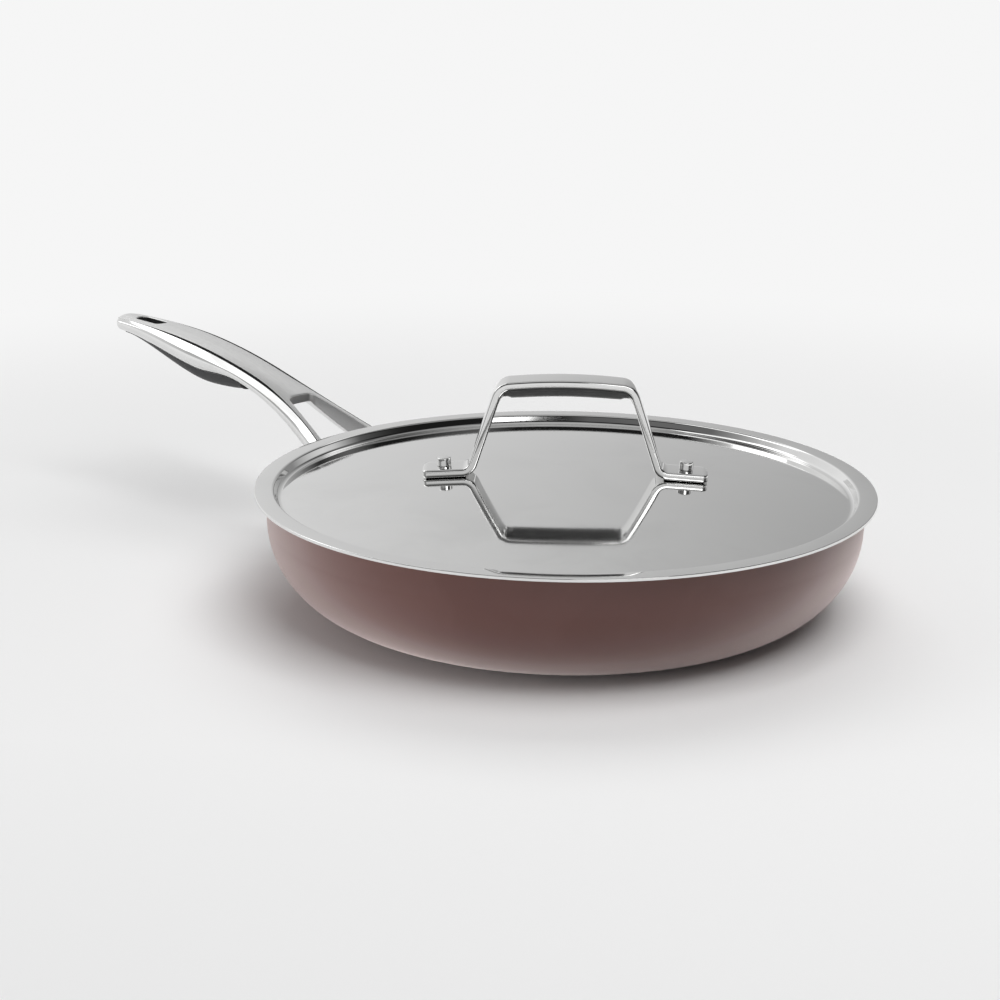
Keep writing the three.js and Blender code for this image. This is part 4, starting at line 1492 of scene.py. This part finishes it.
def show_either(tree, part, first, second, output):
    """Ends a tree in a mix of two shaders."""
    either = tree.nodes.new("ShaderNodeMixShader")
    for socket, value in zip(either.inputs, (part, first.outputs[0], second.outputs[0])):
        set_socket(tree, socket, value)
    tree.links.new(either.outputs[0], tree.nodes.new(output).inputs[0])


def table_top(finishes):
    """A pale table that keeps the shadow near the pan, is painted darker towards the camera as shade, and
    fades into an even backdrop.
    """
    material = bpy.data.materials.new("table_top")
    material.use_nodes = True
    tree = material.node_tree
    tree.nodes.clear()
    where = tree.nodes.new("ShaderNodeTexCoord").outputs["Object"]
    fade = distance_from_axis(tree, where).ramp(*SHADOW_FADE, kind="SMOOTHSTEP")
    plan = add_node(tree, "ShaderNodeVectorMath", {"operation": "DOT_PRODUCT"}, Vector=where)
    plan.inputs[1].default_value = (-math.sin(VIEW_TURN), math.cos(VIEW_TURN), 0)
    away = Level(tree, plan.outputs["Value"])
    # Painted shade: a darker band on the table towards the camera.
    near = away.ramp(*FRONT_SHADE_START, 1, 0) * away.ramp(*FRONT_SHADE_END)
    colour = colour_between(near, finishes.floor, finishes.floor_near)
    matt = add_node(tree, "ShaderNodeBsdfDiffuse", Color=colour)
    glow = add_node(tree, "ShaderNodeEmission", Color=colour, Strength=1.0)
    show_either(tree, fade * seen_directly(tree), matt, glow, "ShaderNodeOutputMaterial")
    return material


def studio_sky(world, finishes):
    """Bright walls behind the pan and to its left in a darker room, by direction in the plan."""
    world.use_nodes = True
    tree = world.node_tree
    tree.nodes.clear()
    where = tree.nodes.new("ShaderNodeTexCoord").outputs["Generated"]
    turned = add_node(tree, "ShaderNodeMapping", Vector=where, Rotation=(0, 0, -VIEW_TURN))
    parts = add_node(tree, "ShaderNodeSeparateXYZ", Vector=turned.outputs[0])
    across, away, up = (Level(tree, socket) for socket in parts.outputs)

    wall = across.ramp(-0.45, 0.45, 0.93, 0.27)
    left_end = across.ramp(-0.9, -0.5, -0.12, 0)
    corner = across.ramp(0.42, 0.62) * up.ramp(0.2, 0.4, 0, 0.95)
    cove = up.ramp(0.57, 0.62, 0, 0.9) * across.ramp(0.42, 0.62, 1, 0)
    ceiling = up.ramp(0.62, 0.74, 1, 0.05)
    back = ((wall + left_end) * (1 - corner) + cove) * ceiling

    side_walls = across.ramp(0.4, 0.7, 1, 0.1) * across.ramp(-0.85, -0.6, 0.35, 1)
    low_room = up.ramp(0.26, 0.42, 0.72, 0) * side_walls
    haze = across.ramp(-0.15, 0.05, 0.14, 0) * up.ramp(0.5, 0.62, 1, 0)
    front = low_room.or_more(haze) + 0.012

    overhead = up.ramp(0.8, 0.96, 0, 0.45)
    right_low = across.ramp(0.6, 0.85, 0, 0.5) * up.ramp(0.2, 0.45, 1, 0.42) * away.ramp(0.12, 0.36)
    right_high = across.ramp(0.3, 0.5) * up.ramp(0.64, 0.8, 0, 0.3)

    behind = away.ramp(-0.35, 0.25)
    room = back * behind + front * (1 - behind) + overhead.or_more(right_low.or_more(right_high))
    strength = room * seen_directly(tree).ramp(0, 1, GATHERED_LIGHT, 1)
    sky = add_node(tree, "ShaderNodeBackground", Color=(1, 1, 1, 1), Strength=strength)
    plain = add_node(tree, "ShaderNodeBackground", Color=(*finishes.floor, 1), Strength=1.0)
    to_camera = tree.nodes.new("ShaderNodeLightPath").outputs["Is Camera Ray"]
    show_either(tree, to_camera, sky, plain, "ShaderNodeOutputWorld")


def hang_soft_box(plan, name, spot, size, power, lights, mirrored):
    """Hangs a rectangular lamp that looks at the pan."""
    deselect_all()
    bpy.ops.object.light_add(type="AREA")
    lamp = bpy.context.object
    rename(lamp, name)
    lamp.data.shape = "RECTANGLE"
    lamp.data.size, lamp.data.size_y = size
    lamp.data.energy = power
    lamp.visible_diffuse = lights
    lamp.visible_glossy = mirrored
    lamp.location = plan @ Vector(spot)
    lamp.rotation_mode = "QUATERNION"
    lamp.rotation_quaternion = (CAMERA_TARGET - lamp.location).to_track_quat("-Z", "Y")


class FRYPAN_OT_stage(bpy.types.Operator):
    """Sets up the pale table, the soft boxes, the sky and the camera"""

    bl_idname = "frypan.stage"
    bl_label = "Stage"

    def execute(self, context):
        scene = context.scene
        plan = Matrix.Rotation(VIEW_TURN, 4, "Z")
        deselect_all()
        bpy.ops.mesh.primitive_circle_add(vertices=TABLE_STEPS, radius=TABLE_RADIUS, fill_type="NGON")
        table = start_editing("table")
        bpy.ops.mesh.inset(thickness=TABLE_INSET)
        bpy.ops.object.mode_set(mode="OBJECT")
        wear(table, table_top(scene.pan_finishes))
        for soft_box in SOFT_BOXES:
            hang_soft_box(plan, *soft_box)
        scene.world = scene.world or bpy.data.worlds.new("studio")
        studio_sky(scene.world, scene.pan_finishes)
        scene.view_settings.view_transform = "Standard"
        bpy.ops.object.camera_add()
        camera = context.object
        camera.data.lens = CAMERA_LENS
        camera.data.clip_start = CAMERA_NEAR
        run = CAMERA_DISTANCE * math.cos(CAMERA_HEIGHT)
        back = plan @ Vector((0, -run, CAMERA_DISTANCE * math.sin(CAMERA_HEIGHT)))
        camera.matrix_world = (
            Matrix.Translation(CAMERA_TARGET + back)
            @ Matrix.Rotation(VIEW_TURN + CAMERA_PAN, 4, "Z")
            @ Matrix.Rotation(math.pi / 2 - CAMERA_HEIGHT + CAMERA_TILT, 4, "X")
            @ Matrix.Rotation(CAMERA_ROLL, 4, "Z")
        )
        scene.camera = camera
        return {"FINISHED"}


PIECE_OPERATORS = (
    FRYPAN_OT_pan_body,
    FRYPAN_OT_long_handle,
    FRYPAN_OT_under_grip,
    FRYPAN_OT_pan_rivets,
    FRYPAN_OT_lid_shell,
    FRYPAN_OT_lid_strap,
    FRYPAN_OT_lid_rivets,
    FRYPAN_OT_stage,
)

SIZE_GROUPS = {
    "pan_sizes": PanSizes,
    "handle_sizes": HandleSizes,
    "grip_sizes": GripSizes,
    "lid_sizes": LidSizes,
    "strap_sizes": StrapSizes,
    "rivet_sizes": RivetSizes,
    "pan_finishes": Finishes,
}


class FRYPAN_PT_pieces(bpy.types.Panel):
    """Lists the pieces of the frying pan and their sizes"""

    bl_idname = "FRYPAN_PT_pieces"
    bl_label = "Frying pan"
    bl_space_type = "VIEW_3D"
    bl_region_type = "UI"
    bl_category = "Frying pan"

    def draw(self, context):
        for operator in PIECE_OPERATORS:
            self.layout.operator(operator.bl_idname)
        for name, group in SIZE_GROUPS.items():
            box = self.layout.box()
            box.label(text=group.__doc__)
            for prop in group.__annotations__:
                box.prop(getattr(context.scene, name), prop)


def register():
    for group in SIZE_GROUPS.values():
        bpy.utils.register_class(group)
    for name, group in SIZE_GROUPS.items():
        setattr(bpy.types.Scene, name, PointerProperty(type=group))
    for operator in PIECE_OPERATORS:
        bpy.utils.register_class(operator)
    bpy.utils.register_class(FRYPAN_PT_pieces)


def unregister():
    bpy.utils.unregister_class(FRYPAN_PT_pieces)
    for operator in reversed(PIECE_OPERATORS):
        bpy.utils.unregister_class(operator)
    for name in SIZE_GROUPS:
        delattr(bpy.types.Scene, name)
    for group in reversed(SIZE_GROUPS.values()):
        bpy.utils.unregister_class(group)


def main():
    register()
    bpy.ops.frypan.pan_body()
    bpy.ops.frypan.long_handle()
    bpy.ops.frypan.under_grip()
    bpy.ops.frypan.pan_rivets()
    bpy.ops.frypan.lid_shell()
    bpy.ops.frypan.lid_strap()
    bpy.ops.frypan.lid_rivets()
    bpy.ops.frypan.stage()


if __name__ == "__main__":
    main()
